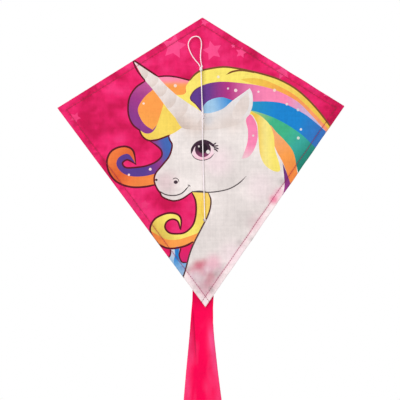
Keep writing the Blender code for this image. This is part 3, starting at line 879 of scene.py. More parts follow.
def soft_spots(c):
    """Soft patches laid over the coat: place, radius, colour and strength."""
    rose = mixed(c.pink, c.ground_dark, 0.95)
    grey = mixed(c.shade, c.pencil, 0.25)
    return (
        (3, -176, 15, mixed(c.pink, c.shade, 0.7), 0.6), (-8, -177, 6, grey, 0.5),
        (2, -168, 5, c.blush, 0.5), (-7, -165, 6.2, rose, 0.8), (-14, -169, 3.6, rose, 0.5),
        (-1, -161, 4.0, rose, 0.4), (9, -161, 8, c.pink, 0.4), (6, -176, 5, rose, 0.38),
        (-3, -172, 3.4, rose, 0.3), (3, -184, 5, rose, 0.35), (0, -189, 8, mixed(c.pink, c.shade, 0.55), 0.6),
        (12, -173, 4, grey, 0.35), (-11, -186, 2.4, grey, 0.6), (6, -188.5, 3.0, grey, 0.55),
        (73.5, -97, 4.8, mixed(c.pink, c.ground, 0.45), 0.85), (79, -90, 5, c.pink, 0.45),
        (82, -78, 4, grey, 0.5), (36, -141, 3.4, grey, 0.6), (49, -138, 2.6, grey, 0.7),
        (7, -191.5, 2.6, grey, 0.5), (-8, -192, 2.4, grey, 0.45), (-1, -185, 4, grey, 0.25),
        (88, -73, 2.4, grey, 0.4), (48, -114, 11, c.shade, 0.16), (56, -122, 10, c.pink, 0.14),
        (20, -78, 16, c.shade, 0.22), (14, -56, 15, c.blush, 0.5),
        (-40, -78, 12, mixed(c.shade, c.pink, 0.3), 0.5), (-36, -86, 7, c.shade, 0.2),
        (-10, -18, 12, c.horn, 0.55), (32, -12, 15, c.horn, 0.45), (8, -130, 16, c.shade, 0.12),
        (32, -116, 20, c.shade, 0.05), (5, -14, 5, mixed(c.shade, c.sky, 0.4), 0.4),
        (42, -30, 8, c.white, 0.4), (40, -160, 16, c.blush, 0.4), (26, -152, 12, c.blush, 0.35),
        (60, -84, 16, c.blush, 0.35), (-10, -175, 9, c.blush, 0.5),
    )


def noise_at(x, z, width, height, layer):
    """Smooth noise from -1 to 1, whose features have a width and a height in millimetres."""
    return noise.noise(Vector((x / width, z / height, layer)))


def cloud_value(x, z):
    """Soft blotches of ink from about -1 to 1."""
    total = 1.5 * noise_at(x, z, 26, 17, 3.7) + 0.75 * noise_at(x, z, 9, 7, 9.1)
    total += 0.4 * noise_at(x, z, 3.2, 3.6, 5.3)
    return max(-1.0, min(1.0, total))


class Print:
    """The whole printed drawing, with painted light and shade along the hems, which can be read at any
    place on the sail.
    """

    def __init__(self, c):
        self.c = c
        self.shapes = drawing_shapes(c)
        self.spots = soft_spots(c)

    def layers_at(self, points):
        """The number of the topmost shape over each point."""
        found = np.zeros(len(points), int)
        open_points = np.ones(len(points), bool)
        for number in range(len(self.shapes) - 1, 0, -1):
            waiting = np.nonzero(open_points)[0]
            hit = waiting[self.shapes[number].covers(points[waiting])]
            found[hit] = number
            open_points[hit] = False
        return found

    def colours(self, points, layers):
        """The colour at each point, of the shape with that number."""
        result = np.zeros((len(points), 3))
        cloud = np.zeros(len(points))
        for number in np.unique(layers):
            chosen = layers == number
            result[chosen] = self.shapes[number].colours_at(points[chosen])
            cloud[chosen] = self.shapes[number].cloud
        coat = (cloud >= CROWN_CLOUD) & (cloud < GROUND_CLOUD)
        inside = nearest_edge(points[:, 0], points[:, 1])
        result = self.clouded(result, points, cloud)
        result = self.hemmed(result, points, cloud, coat, inside)
        return np.clip(self.stained(result, points, coat, inside), 0, 1)

    def clouded(self, result, points, cloud):
        """Uneven ink: the ground turns darker or lighter, and the rest only a little."""
        drift = np.array([cloud_value(x, z) for x, z in points])[:, None]
        cloud = cloud[:, None]
        dark, light, ground = (np.array(v) for v in (self.c.ground_dark, self.c.ground_light, self.c.ground))
        strength = cloud * np.abs(drift)
        target = np.where(drift < 0, dark, light)
        depth = np.minimum(strength * np.where(drift < 0, 1.15, 0.8), 1)
        over_ground = result * (1 - depth) + target * depth
        over_star = result + (target - ground) * strength * 0.5
        over_rest = result * (1 + cloud * drift * 0.13)
        off_ground = np.where(cloud == STAR_CLOUD, over_star, over_rest)
        return np.where(cloud == GROUND_CLOUD, over_ground, off_ground)

    def hemmed(self, result, points, cloud, coat, inside):
        """Painted light and shade along the hems: the coat paler over the doubled cloth of the hem, painted
        shade in the hollow along the stitches, and painted light and shade on the small gathers beside it.
        """
        # Painted light: the coat turns paler and pinker over the doubled cloth of the hem.
        turned = np.where(coat & (inside < 6.7), 0.7, 0.0)[:, None]
        result = result * (1 - turned) + np.array(mixed(self.c.white, self.c.blush, 0.4)) * 1.17 * turned
        # Painted shade in the hollow that the stitches pull into the cloth.
        painted_stitch_shade = np.exp(-((inside - STITCH_ROW) / 0.75) ** 2)[:, None]
        result *= 1 - painted_stitch_shade * np.array((0.14, 0.46, 0.36))
        # Painted light and shade on the small gathers beside the stitches, strongest on the ground.
        for number in np.nonzero(inside < 11)[0]:
            painted_gather_light = noise_at(*points[number], 1.7, 1.5, 8.8) * math.exp(-((inside[number] - 5) / 3.6) ** 2)
            result[number] *= 1 + painted_gather_light * (0.5 if cloud[number] >= GROUND_CLOUD else 0.12)
        return result

    def stained(self, result, points, coat, inside):
        """Small stains near the foot, and the soft patches, both on the coat alone."""
        for number in np.nonzero(coat & (inside > 6.9) & (points[:, 1] < STAINS_BELOW_Z))[0]:
            x, z = points[number]
            stain = noise_at(x, z, 4.2, 3.6, 1.3) + 0.5 * noise_at(x, z, 1.9, 1.7, 4.4)
            tint = np.array(self.c.magenta if stain > 0 else self.c.pencil)
            share = min(0.5, abs(stain) * 0.8) * min(1.0, (STAINS_BELOW_Z - z) / 12)
            result[number] = result[number] * (1 - share) + tint * share
        for x, z, radius, tint, share in self.spots:
            away = ((points[:, 0] - x) ** 2 + (points[:, 1] - z) ** 2) / radius ** 2
            mix = np.where(coat, share * np.exp(-away ** 1.4), 0)[:, None]
            result = result * (1 - mix) + np.array(tint) * mix
        return result


# The sail's surface


def edge_distances(x, z):
    """Distance inside each of the four edges, the distance along each and its length."""
    x, z = np.asarray(x, float), np.asarray(z, float)
    found = []
    for i, start in enumerate(CORNERS):
        reach = np.array(CORNERS[(i + 1) % 4]) - np.array(start)
        size = np.linalg.norm(reach)
        ahead = reach / size
        inside = (x - start[0]) * ahead[1] - (z - start[1]) * ahead[0]
        along = (x - start[0]) * ahead[0] + (z - start[1]) * ahead[1]
        found.append((inside, along, size))
    return found


def nearest_edge(x, z):
    """Distance inside the nearest edge."""
    return np.min([inside for inside, _, _ in edge_distances(x, z)], axis=0)


def inset_corners(inset):
    """The kite's corners, moved in so that each side lies inset further in."""
    corners = []
    for i in range(4):
        before, here, after = (Vector(CORNERS[k % 4]) for k in (i - 1, i, i + 1))
        first = (here - before).normalized()
        second = (after - here).normalized()
        a = before + Vector((first.y, -first.x)) * inset
        b = here + Vector((second.y, -second.x)) * inset
        step = (b - a).cross(second) / first.cross(second)
        corners.append(a + first * step)
    return corners


def sail_wave(x, z, ripple):
    """How far the stretched cloth stands back from flat, in millimetres, for arrays of places."""
    x, z = np.asarray(x, float), np.asarray(z, float)
    total = 0.8 * ripple * np.sin(x / 23 + z / 41 + 0.6) * np.sin(z / 27 - x / 60 + 1.1)
    total += 0.45 * ripple * np.sin(x / 9.5 - z / 15 + 2.0) * np.sin(z / 31 + 0.4)
    for number, (inside, along, size) in enumerate(edge_distances(x, z)):
        window = np.sin(math.pi * np.clip(along / size, 0, 1)) ** 0.5
        gathers = np.sin(along / (5.4 + number * 0.5) + number)
        total += 1.1 * ripple * window * np.exp(-(inside / 20) ** 2) * gathers
        row = np.exp(-((inside - STITCH_ROW) / 3.2) ** 2)
        total += 0.10 * window * row * np.sin(along / 1.15 + number * 2)
    calm = 1 - np.exp(-(x / 13) ** 2)
    for cx, cz in CORNERS:
        away = np.sqrt((x - cx) ** 2 + (z - cz) ** 2)
        calm = calm * (1 - np.exp(-(away / 30) ** 4))
    return total * calm


def hem_step(x, z, hem_width):
    """How far the front stands forward over the turned edge, and is drawn in along the stitches."""
    nearest = nearest_edge(x, z)
    over_hem = -HEM_STEP / (1 + np.exp((nearest - hem_width) * 3.5))
    return over_hem + STITCH_PULL * np.exp(-((nearest - STITCH_ROW) / 0.7) ** 2)


class KITE_OT_stage(bpy.types.Operator):
    """Make the camera, the soft lights and the pale floor"""

    bl_idname = "kite.stage"
    bl_label = "Stage"

    def execute(self, context):
        scene = context.scene
        scene.view_settings.view_transform = "Standard"
        turn, rise, roll = (math.radians(v) for v in CAMERA_ANGLES)
        forward = Vector((-math.sin(turn) * math.cos(rise), math.cos(turn) * math.cos(rise), -math.sin(rise)))
        right = Vector((math.cos(turn), math.sin(turn), 0))
        up = right.cross(forward)
        tilted_right = right * math.cos(roll) + up * math.sin(roll)
        tilted_up = up * math.cos(roll) - right * math.sin(roll)
        camera = bpy.data.objects.new("camera", bpy.data.cameras.new("camera"))
        camera.data.lens = CAMERA_LENS
        camera.data.sensor_width = 36
        turned = Matrix((tilted_right, tilted_up, -forward)).transposed().to_4x4()
        camera.matrix_world = Matrix.Translation(at(*CAMERA_PLACE)) @ turned
        scene.collection.objects.link(camera)
        scene.camera = camera

        world = bpy.data.worlds.new("studio")
        world.use_nodes = True
        tree = world.node_tree
        tree.nodes.clear()
        lit = add_node(tree, "ShaderNodeBackground", {"Color": (1.0, 0.995, 0.99, 1.0), "Strength": 0.47})
        seen = add_node(tree, "ShaderNodeBackground", {"Color": (1.0, 1.0, 1.0, 1.0), "Strength": 1.0})
        ray = add_node(tree, "ShaderNodeLightPath")
        mix = add_node(
            tree, "ShaderNodeMixShader",
            {0: ray.outputs["Is Camera Ray"], 1: lit.outputs[0], 2: seen.outputs[0]})
        add_node(tree, "ShaderNodeOutputWorld", {"Surface": mix.outputs[0]})
        scene.world = world

        for name, place, size, power in LIGHTS:
            lamp = bpy.data.objects.new(name, bpy.data.lights.new(name, "AREA"))
            lamp.data.size = size
            lamp.data.energy = power
            lamp.location = at(*place)
            lamp.rotation_mode = "QUATERNION"
            lamp.rotation_quaternion = (at(*LIGHTS_AIM) - at(*place)).to_track_quat("-Z", "Y")
            scene.collection.objects.link(lamp)

        floor_z = CAD_BOX[0].z - FLOOR_DROP
        rings = [
            [Vector((radius * math.cos(angle), radius * math.sin(angle), floor_z + drop))
             for angle in turns_of(96)]
            for radius, drop in FLOOR_RINGS]
        material = hard_material("studio_floor", scene.kite_colours.floor, 12.0, 0.8, 0.04, 0.0005)
        make_object("studio_floor", rings_mesh("studio_floor", rings), material)
        return {"FINISHED"}


# The bridle's line, as places in front of the sail
LINE_Y = -1.45
LINE_BEND = 2.2
TIE_FRONT_Y = 1.8
KNOT_TURNS = (-2.5, -2.6, 39.0)
COIL_PITCH = 1.0


def leg_bend(height):
    """A leg's last points: down the front, through the sail and straight back to its tie."""
    points = []
    for degrees in (0, 30, 60, 90):
        turn = math.radians(degrees)
        points.append((
            0, LINE_Y + LINE_BEND * (1 - math.cos(turn)), height + LINE_BEND * (1 - math.sin(turn))))
    points.append((0, TIE_FRONT_Y, height))
    return points


UPPER_LEG = [
    (-2.4, -1.9, 36.7), (-2.3, -1.9, 34.0), (-2.0, LINE_Y, 22.0), (-1.4, LINE_Y, 6.0), (-0.4, LINE_Y, -5.0)
] + leg_bend(UPPER_HOLE_Z)
LOWER_LEG = [
    (-2.4, -3.3, 36.7), (-2.3, -3.3, 33.0), (-2.1, -3.3, 20.0), (-1.8, -3.3, 4.0), (-1.6, -3.3, -12.0),
    (-1.4, LINE_Y, -30.0), (-1.1, LINE_Y, -52.0), (-0.7, LINE_Y, -76.0), (-0.2, LINE_Y, -100.0)
] + leg_bend(LOWER_HOLE_Z)
LOOP = [(x, -2.6, z) for x, z in (
    (-1.7, 41.3), (-2.1, 45.0), (-2.8, 50.0), (-2.5, 56.7), (-1.8, 62.4), (-2.1, 68.1), (-4.3, 71.6),
    (-7.8, 72.4), (-11.4, 71.2), (-14.2, 68.1), (-15.4, 64.0), (-14.3, 58.8), (-11.6, 52.9), (-8.0, 47.8),
    (-5.0, 44.3), (-3.3, 41.3))]


class KITE_OT_bridle(bpy.types.Operator):
    """Make the two bridle legs, the tow loop, its knot and the turns round the spine"""

    bl_idname = "kite.bridle"
    bl_label = "Bridle"

    def execute(self, context):
        sizes = context.scene.kite_sizes
        material = cloth_material(
            "bridle_line", context.scene.kite_colours.cord, threads=3200.0, slub=0.25, crease=0.3,
            distance=0.00006, Roughness=0.7, Sheen_Weight=0.2)

        def route(points):
            return even_points(curve_points([at(*p) for p in points], step=0.5 * MM), 0.4 * MM)

        def coil(centre, reach, count):
            """A close coil of line round an upright axis."""
            path = []
            for k in range(24 * count + 1):
                turn = 2 * math.pi * k / 24
                path.append(at(
                    centre[0] + reach * math.cos(turn), centre[1] + reach * math.sin(turn),
                    centre[2] + COIL_PITCH * (k / 24 - count / 2)))
            return path

        def strand(path, radius, strands=3, lay=sizes.line_lay):
            return rope_mesh("strand", path, radius * MM, strands, lay, 12)

        def knotted(name, node, strands):
            item = make_object(name, join_meshes(name, strands), material, None)
            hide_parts(node)
            return item

        def cord(name, node, path, lay):
            mesh = rope_mesh(name, path, sizes.line_radius, sizes.line_strands, sizes.line_lay)
            item = make_object(name, mesh, material, None)
            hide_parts(node)
            return item

        knot = knotted("bridle_knot", "tow_knot", [
            strand(coil(KNOT_TURNS, 1.12, 3), 0.52),
            strand(route([(-2.6, -3.4, 40.4), (-1.6, -3.8, 41.2), (-0.9, -3.7, 42.2)]), 0.48),
            strand(route([(-2.5, -2.6, 36.9), (-2.5, -2.6, 41.1)]), 0.75, 2, 0.003)])
        pieces = [knot]
        for name, points, height in (("upper", UPPER_LEG, UPPER_HOLE_Z), ("lower", LOWER_LEG, LOWER_HOLE_Z)):
            pieces.append(cord(f"bridle_leg_{name}", f"bridle_{name}_leg", route(points)[::-1], "taut"))
            lump = route([
                (-0.9, 2.6, height + 0.5), (0.0, 2.1, height + 0.7), (0.7, 2.5, height),
                (0.0, 2.3, height - 0.7), (-0.8, 2.7, height - 0.3), (-2.4, 2.9, height - 1.3)])
            pieces.append(knotted(f"spine_tie_{name}", f"bridle_tie_{name}", [
                strand(coil((0, ROD_Y, height), 1.62, 2), 0.5), strand(lump, 0.48)]))
        pieces.append(cord("bridle_loop", "tow_loop", route(LOOP), "loose"))
        for piece in pieces:
            kite_piece(piece, "bridle_line")
        return {"FINISHED"}


def sail_triangles(drawing, grid):
    """The sail's flat outline cut into triangles along every edge of the drawing."""
    points, edges = [], []

    def add_ring(ring):
        kept = []
        for p in ring:
            if not kept or (p - kept[-1]).length > SHORTEST_EDGE:
                kept.append(p)
        if len(kept) > 2 and (kept[0] - kept[-1]).length < SHORTEST_EDGE:
            kept.pop()
        first = len(points)
        points.extend(kept)
        edges.extend((first + k, first + (k + 1) % len(kept)) for k in range(len(kept)))

    for inset, step in ((RIM_INSET, 2.0), (5.9, 1.2), (STITCH_ROW, 1.2), (7.3, 1.2), (8.4, 2.5)):
        corners = inset_corners(inset)
        ring = []
        for a, b in zip(corners, corners[1:] + corners[:1]):
            count = max(1, round((b - a).length / step))
            ring += [a.lerp(b, k / count) for k in range(count)]
        add_ring(ring)
    holes = [disc(0, height, HOLE_RADIUS, [(0, 0, 0)], 1.0, 24) for height in (UPPER_HOLE_Z, LOWER_HOLE_Z)]
    for shape in holes + drawing.shapes[1:]:
        add_ring([Vector(p) for p in shape.outline])

    tree = KDTree(len(points))
    for k, p in enumerate(points):
        tree.insert((p.x, p.y, 0), k)
    tree.balance()
    rows = int((NOSE_Z - FOOT_Z) / (grid * 0.866)) + 1
    for row in range(rows):
        z = FOOT_Z + row * grid * 0.866
        for k in range(int(2 * TIP_X / grid) + 1):
            x = -TIP_X + k * grid + (grid / 2 if row % 2 else 0)
            if nearest_edge(x, z) >= 1.5 and tree.find((x, z, 0))[2] > grid * 0.45:
                points.append(Vector((x, z)))
    made = delaunay_2d_cdt(points, edges, [], 0, 0.002, False)
    places = np.array([(p.x, p.y) for p in made[0]])
    triangles = np.array([f for f in made[2] if len(f) == 3])
    centres = places[triangles].mean(1)
    keep = Shape(inset_corners(RIM_INSET), [(0, 0, 0)]).covers(centres)
    for hole in holes:
        keep &= ~hole.covers(centres)
    a, b, c = (places[triangles[:, k]] for k in range(3))
    size = np.abs((b - a)[:, 0] * (c - a)[:, 1] - (b - a)[:, 1] * (c - a)[:, 0]) / 2
    keep &= size > 1e-7
    used, numbers = np.unique(triangles[keep], return_inverse=True)
    return places[used], numbers.reshape(-1, 3), centres[keep]


class KITE_OT_sail(bpy.types.Operator):
    """Make the printed sail and its four turned hems"""

    bl_idname = "kite.sail"
    bl_label = "Sail and hems"

    def execute(self, context):
        sizes = context.scene.kite_sizes
        colours = context.scene.kite_colours
        palette = type("Palette", (), {k: tuple(getattr(colours, k)) for k in KiteColours.__annotations__})
        drawing = Print(palette)
        ripple = sizes.ripple / MM
        hem_width = sizes.hem_width / MM
        material = cloth_material(
            "printed_cloth", "print", threads=2000.0, slub=0.16, crease=1.3, blotch=0.22, distance=0.0003,
            Roughness=0.6, Specular_IOR_Level=0.16, Sheen_Weight=0.04)
        sail = self.make_sail(drawing, palette.white, material, sizes.sail_grid / MM, ripple, hem_width)
        hems = self.make_hems(drawing, material, ripple, hem_width)
        return {"FINISHED"}

    def make_sail(self, drawing, pale, material, grid, ripple, hem_width):
        """The printed front, the paler back and the cut edge between them."""
        places, triangles, centres = sail_triangles(drawing, grid)
        layers = np.repeat(drawing.layers_at(centres), 3)
        front_print = drawing.colours(places[triangles].reshape(-1, 2), layers)
        wave = sail_wave(places[:, 0], places[:, 1], ripple)
        front_y = SAIL_FRONT_Y + wave + hem_step(places[:, 0], places[:, 1], hem_width)
        count = len(places)
        points = [at(x, y, z) for (x, z), y in zip(places, front_y)]
        points += [at(x, SAIL_BACK_Y + y, z) for (x, z), y in zip(places, wave)]
        faces = [tuple(int(v) for v in t) for t in triangles]
        sides = {(t[k], t[(k + 1) % 3]): True for t in faces for k in range(3)}
        back = [(t[2] + count, t[1] + count, t[0] + count) for t in faces]
        walls = [(b, a, a + count, b + count) for a, b in sides if (b, a) not in sides]
        mesh = bpy.data.meshes.new("sail")
        mesh.from_pydata([tuple(p) for p in points], [], faces + back + walls)
        pale = np.array(pale)
        back_print = front_print.reshape(-1, 3, 3)[:, ::-1].reshape(-1, 3) * 0.72 + pale * 0.26
        edge_colours = np.repeat(pale[None, :] * 0.9, len(walls) * 4, 0)
        print_corners(mesh, np.concatenate([front_print, back_print, edge_colours]))
        sail = make_object("sail", mesh, material, 50)
        kite_piece(sail, "sail_cloth", "sail_panel")
        return sail

    def make_hems(self, drawing, material, ripple, hem_width):
        """The four turned edges: each wraps round the sail's rim and lies flat behind it."""
        profile = (
            (hem_width, 0.30), (hem_width - 0.15, 0.52), (hem_width - 0.6, HEM_BACK_Y), (6.9, 0.50),
            (STITCH_ROW, 0.42), (6.3, 0.50), (4.0, HEM_BACK_Y), (1.2, HEM_BACK_Y), (0.45, 0.48),
            (0.12, 0.25), (0.0, -0.05), (0.08, -0.40), (0.35, -0.62), (0.9, -0.66), (0.9, -0.60),
            (0.40, -0.50), (0.30, -0.10), (0.6, 0.05), (hem_width - 0.2, 0.08), (hem_width, 0.15))
        lines = [(inset_corners(inset), y) for inset, y in profile]
        read_from = [inset_corners(min(inset, 1.0)) for inset, _ in profile]
        hems = []
        for i, name in enumerate(EDGE_NAMES):
            j = (i + 1) % 4
            count = round((lines[0][0][j] - lines[0][0][i]).length / 2.0)
            rings, flat = [], []
            for k in range(count + 1):
                share = HEM_END_GAP + k / count * (1 - 2 * HEM_END_GAP)
                ring = []
                for (corners, y), read in zip(lines, read_from):
                    p = corners[i].lerp(corners[j], share)
                    ring.append(at(p.x, y + float(sail_wave(p.x, p.y, ripple)), p.y))
                    flat.append(tuple(read[i].lerp(read[j], share)))
                rings.append(ring)
            mesh = rings_mesh(name, rings)
            flat = np.array(flat)
            print_points(mesh, drawing.colours(flat, drawing.layers_at(flat)) * 0.94)
            hem = make_object(f"turned_{name}", mesh, material, 60)
            kite_piece(hem, "sail_cloth", name)
            hems.append(hem)
        return hems


# The ribbon's half width and the place of its middle, for places below the foot
RIBBON_HALF_WIDTHS = (
    (-20, 11.0), (10, 11.6), (29, 12.7), (47, 14.6), (98, 20.0), (140, 24.0), (175, 25.0))
RIBBON_CENTRES = ((-20, -2.0), (-9, -2.2), (10, -3.6), (29, -4.0), (66, -3.9), (98, -3.4), (150, -2.2))
RIBBON_TOP, RIBBON_SEAM, RIBBON_END = -188.7, -330.0, -658.6
RIBBON_COLUMNS = 72


def eased(table, value):
    """A value read between the entries of a short table, with its corners rounded off."""
    keys, values = zip(*table)
    return float(np.mean([np.interp(value + step, keys, values) for step in (-8, -4, 0, 4, 8)]))


def crease_distance(x, drop):
    """How far a place lies to the right of the long crease near the ribbon's left edge."""
    return x + 13.0 - 0.055 * drop


def ribbon_colour_with_painted_light(x, z, base):
    """The ribbon's colour with painted light and shade: painted shade in its crease and where it runs up
    under the sail, and painted light where the satin catches the light.
    """
    drop = FOOT_Z - z
    away = crease_distance(x, drop)
    fades = smooth_share(drop, -4, 12) * (1 - smooth_share(drop, 38, 62))
    # Painted shade along the long crease and over the cloth just left of it, fading out further down.
    dark = 0.36 * fades * math.exp(-(away / 0.6) ** 2) + 0.14 * fades * smooth_share(-away, -0.5, 0.5)
    # Painted shade at the top, where the ribbon runs up under the sail's foot.
    dark += 0.25 * smooth_share(-drop, -6, 12)
    # Soft paler patches where the satin catches the light: painted light.
    soft = noise_at(x, z, 11, 34, 2.2) + 0.5 * noise_at(x, z, 4, 13, 6.1)
    pale = max(0.0, 0.05 + 0.5 * soft) * smooth_share(drop, 8, 30)
    # Painted highlight: one broad patch of sheen right of the crease.
    sheen = 0.6 * math.exp(-((x - 4.8) / 3.4) ** 2 - ((drop - 36) / 17) ** 2)
    # Paler towards the folded-back edges: painted light.
    rim = abs(x - eased(RIBBON_CENTRES, drop)) / eased(RIBBON_HALF_WIDTHS, drop)
    pale = min(1.0, pale + sheen + 0.55 * smooth_share(rim, 0.45, 1.0) * smooth_share(drop, 10, 40))
    # The paler colour that the painted light mixes towards.
    light = (min(1.0, base[0] * 1.05), base[1] + 0.075, base[2] + 0.17)
    return tuple(v * (1 - dark) for v in mixed(base, light, pale))


def ribbon_section(z, half):
    """One cross-section of the ribbon: its sides are folded back at the foot and open out further down."""
    drop = FOOT_Z - z
    width = min(eased(RIBBON_HALF_WIDTHS, drop), half)
    fold = math.pi * (1 - smooth_share(drop, 88, 175))
    sway = 2.6 * smooth_share(drop, 8, 95) * math.sin(drop / 61 - 0.5)
    sway += 2.0 * smooth_share(drop, 120, 300) * math.sin(drop / 52)
    shift = eased(RIBBON_CENTRES, drop)
    loose = smooth_share(drop, 2, 40)
    twist = 0.10 * smooth_share(drop, 150, 420) * math.sin(drop / 85)
    points = []
    for k in range(RIBBON_COLUMNS + 1):
        cloth = half * (2 * k / RIBBON_COLUMNS - 1)
        side = -1 if cloth < 0 else 1
        bend = (0.16 if side > 0 else 0.28) + 0.7 * loose
        over = abs(cloth) - (width - bend)
        x, y = abs(cloth), 0.0
        if over > 0:
            turn = min(over / bend, fold)
            past = max(over - bend * fold, 0.0)
            x = width - bend + bend * math.sin(turn) + past * math.cos(turn)
            y = bend * (1 - math.cos(turn)) + past * math.sin(turn)
        x *= side
        crease = -0.6 * loose * math.exp(-abs(crease_distance(x + shift, drop)) / 0.9)
        crease *= 1 - smooth_share(drop, 38, 62)
        swell = 1.8 * loose * math.exp(-((x - 8.0) / 6.0) ** 2) * smooth_share(drop, 10, 30)
        swell *= 1 - smooth_share(drop, 40, 80)
        ripple = 1.2 * smooth_share(drop, 40, 150) * math.sin(x / 8 + drop / 38)
        rest = 1.12 + 0.1 * loose
        points.append((x + shift, rest + y + sway + ripple - crease - swell + x * twist, z))
    return points


class KITE_OT_tail(bpy.types.Operator):
    """Make the ribbon tail in two lengths that meet half-way down"""

    bl_idname = "kite.tail"
    bl_label = "Ribbon tail"

    def execute(self, context):
        material = cloth_material(
            "satin_ribbon", "print", threads=3000.0, slub=0.10, crease=1.2, blotch=0.10, distance=0.00035,
            Roughness=0.38, Specular_IOR_Level=0.05)
        sizes = context.scene.kite_sizes
        for name, high, low, step, nodes, rests_on, bodies, bend in (
                ("ribbon_upper", RIBBON_TOP, RIBBON_SEAM, 1.6, ("tail_sewn_end", "tail_upper_length"),
                 "pocket_foot", ("kite", "tail_upper"), (-207.4, -217.0)),
                ("ribbon_lower", RIBBON_SEAM, RIBBON_END, 2.6, ("tail_lower_length",),
                 "ribbon_upper", ("tail_upper", "tail_lower"), (-346.0, -371.6))):
            mesh = self.ribbon_mesh(name, high, low, step, sizes, tuple(context.scene.kite_colours.ribbon))
            ribbon = make_object(name, mesh, material, None)
            thick = ribbon.modifiers.new("thickness", "SOLIDIFY")
            thick.thickness = sizes.ribbon_thickness
            thick.offset = 0.0
            thick.use_rim = True
            apply_modifiers(ribbon)
            shade_surface(ribbon.data, 60)
            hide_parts(*nodes)
            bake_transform(ribbon)
        return {"FINISHED"}

    def ribbon_mesh(self, name, high, low, step, sizes, base):
        """One length of the ribbon as a sheet without thickness, coloured with its painted light and shade.
        """
        rows = round((high - low) / step)
        points, faces, painted_light_colours = [], [], []
        for row in range(rows + 1):
            section = ribbon_section(high + (low - high) * row / rows, sizes.ribbon_width / MM / 2)
            points += [at(*p) for p in section]
            painted_light_colours += [ribbon_colour_with_painted_light(x, z, base) for x, _, z in section]
        for row in range(rows):
            for k in range(RIBBON_COLUMNS):
                a = row * (RIBBON_COLUMNS + 1) + k
                faces.append((a, a + RIBBON_COLUMNS + 1, a + RIBBON_COLUMNS + 2, a + 1))
        mesh = mesh_from(name, points, faces)
        mesh.flip_normals()
        print_points(mesh, painted_light_colours)
        return mesh


def corner_frames():
    """For each corner: its name, its place, the way in along the rod and the way across."""
    for name, (x, z) in zip(CORNER_NAMES, CORNERS):
        outer = Vector((x, 0, z))
        inward = -outer.normalized()
        yield name, outer, inward, Vector((inward.z, 0, -inward.x))


class KITE_OT_rods(bpy.types.Operator):
    """Make the spine, the cross spar, their end caps and the cross connector"""

    bl_idname = "kite.rods"
    bl_label = "Rods and connector"

    def execute(self, context):
        sizes = context.scene.kite_sizes
        colours = context.scene.kite_colours
        glass = hard_material(
            "fibreglass_rod", colours.rod, 900.0, 0.34, 0.16, 0.00003, Coat_Weight=0.25, Coat_Roughness=0.25)
        vinyl = hard_material("vinyl_cap", colours.vinyl, 500.0, 0.48, 0.12, 0.00004)
        moulding = hard_material("connector_moulding", colours.moulding, 700.0, 0.5, 0.14, 0.00006)
        radius = sizes.rod_radius / MM

        spine_path = [at(0, ROD_Y, z) for z in (-199.6, -199.3, -150, -100, -50, 0, 50, 83.3, 83.6)]
        spar_path = []
        for x in [-SPAR_END, -141.3] + [-138 + 4 * k for k in range(70)] + [141.3, SPAR_END]:
            bow = (1 - (x / SPAR_END) ** 2) ** 2
            spar_path.append(at(x, ROD_Y + (SPAR_Y - ROD_Y) * bow, 0))
        for name, node, path in (
                ("spine", "spine_rod", spine_path), ("cross_spar", "cross_spar_rod", spar_path)):
            rings = []
            for i, (place, side, up) in enumerate(path_frames(path)):
                thin = 0.82 if i in (0, len(path) - 1) else 1.0
                rings.append(round_ring(place, side, up, 24, lambda turn: radius * thin * MM))
            kite_piece(make_object(name, rings_mesh(name, rings), glass), "fibreglass", node)

        cap = sizes.cap_radius / MM
        profile = (
            (0.0, 0.0), (0.0, cap - 0.7), (0.12, cap - 0.35), (0.4, cap - 0.08), (0.8, cap), (7.6, cap),
            (7.75, cap - 0.12), (8.0, cap - 0.12), (8.15, cap), (8.75, cap), (8.95, cap - 0.12),
            (9.0, cap - 0.3), (9.0, radius + 0.14), (8.8, radius + 0.08), (2.0, radius + 0.08), (2.0, 0.0))
        for label, outer, inward, _ in corner_frames():
            start = at(*(outer + inward * CAP_SETBACK + Vector((0, ROD_Y, 0))))
            mesh = turned_mesh(f"end_cap_{label}", profile, start, inward)
            kite_piece(make_object(f"end_cap_{label}", mesh, vinyl), "vinyl_cap", f"cap_{label}")
        self.make_connector(moulding)
        return {"FINISHED"}

    def make_connector(self, moulding):
        """Two collared tubes melted into a round boss, and then bored for the rods."""
        axes = (((0, ROD_Y, 0), (0, 0, 1)), ((0, SPAR_Y, 0), (1, 0, 0)))
        tube = ((-7.9, 2.55), (-6.6, 2.55), (-6.2, 2.3), (6.2, 2.3), (6.6, 2.55), (7.9, 2.55))
        boss = ((0.0, 4.3), (4.9, 4.3), (5.7, 4.2), (6.05, 3.8), (6.05, 2.4), (5.75, 2.1), (5.75, 0.0))
        parts = [turned_mesh("tube", tube, at(*centre), axis) for centre, axis in axes]
        parts.append(turned_mesh("boss", boss, at(0, ROD_Y, 0), (0, 1, 0), 48))
        body = make_object("connector", join_meshes("connector", parts), moulding, None)
        melt = body.modifiers.new("melt", "REMESH")
        melt.mode = "VOXEL"
        melt.voxel_size = 0.00024
        soften = body.modifiers.new("soften", "SMOOTH")
        soften.factor = 0.5
        soften.iterations = 4
        cutters = []
        for centre, axis in axes:
            bore = turned_mesh("bore", ((-12.0, BORE_RADIUS), (12.0, BORE_RADIUS)), at(*centre), axis)
            cutters.append(make_object("bore", bore, moulding))
            cut = body.modifiers.new("bore", "BOOLEAN")
            cut.operation = "DIFFERENCE"
            cut.solver = "EXACT"
            cut.object = cutters[-1]
        apply_modifiers(body)
        for cutter in cutters:
            bpy.data.objects.remove(cutter, do_unlink=True)
        shade_surface(body.data, 50)
        kite_piece(body, "connector_moulding", "cross_connector")


def pocket_base(label):
    """Where a pocket's cloth lies: the foot's pocket lies over the sewn end of the ribbon."""
    return 1.62 if label == "foot" else 0.75


def pocket_half_width(along):
    return 3.3 + 3.7 * along / POCKET_LENGTH


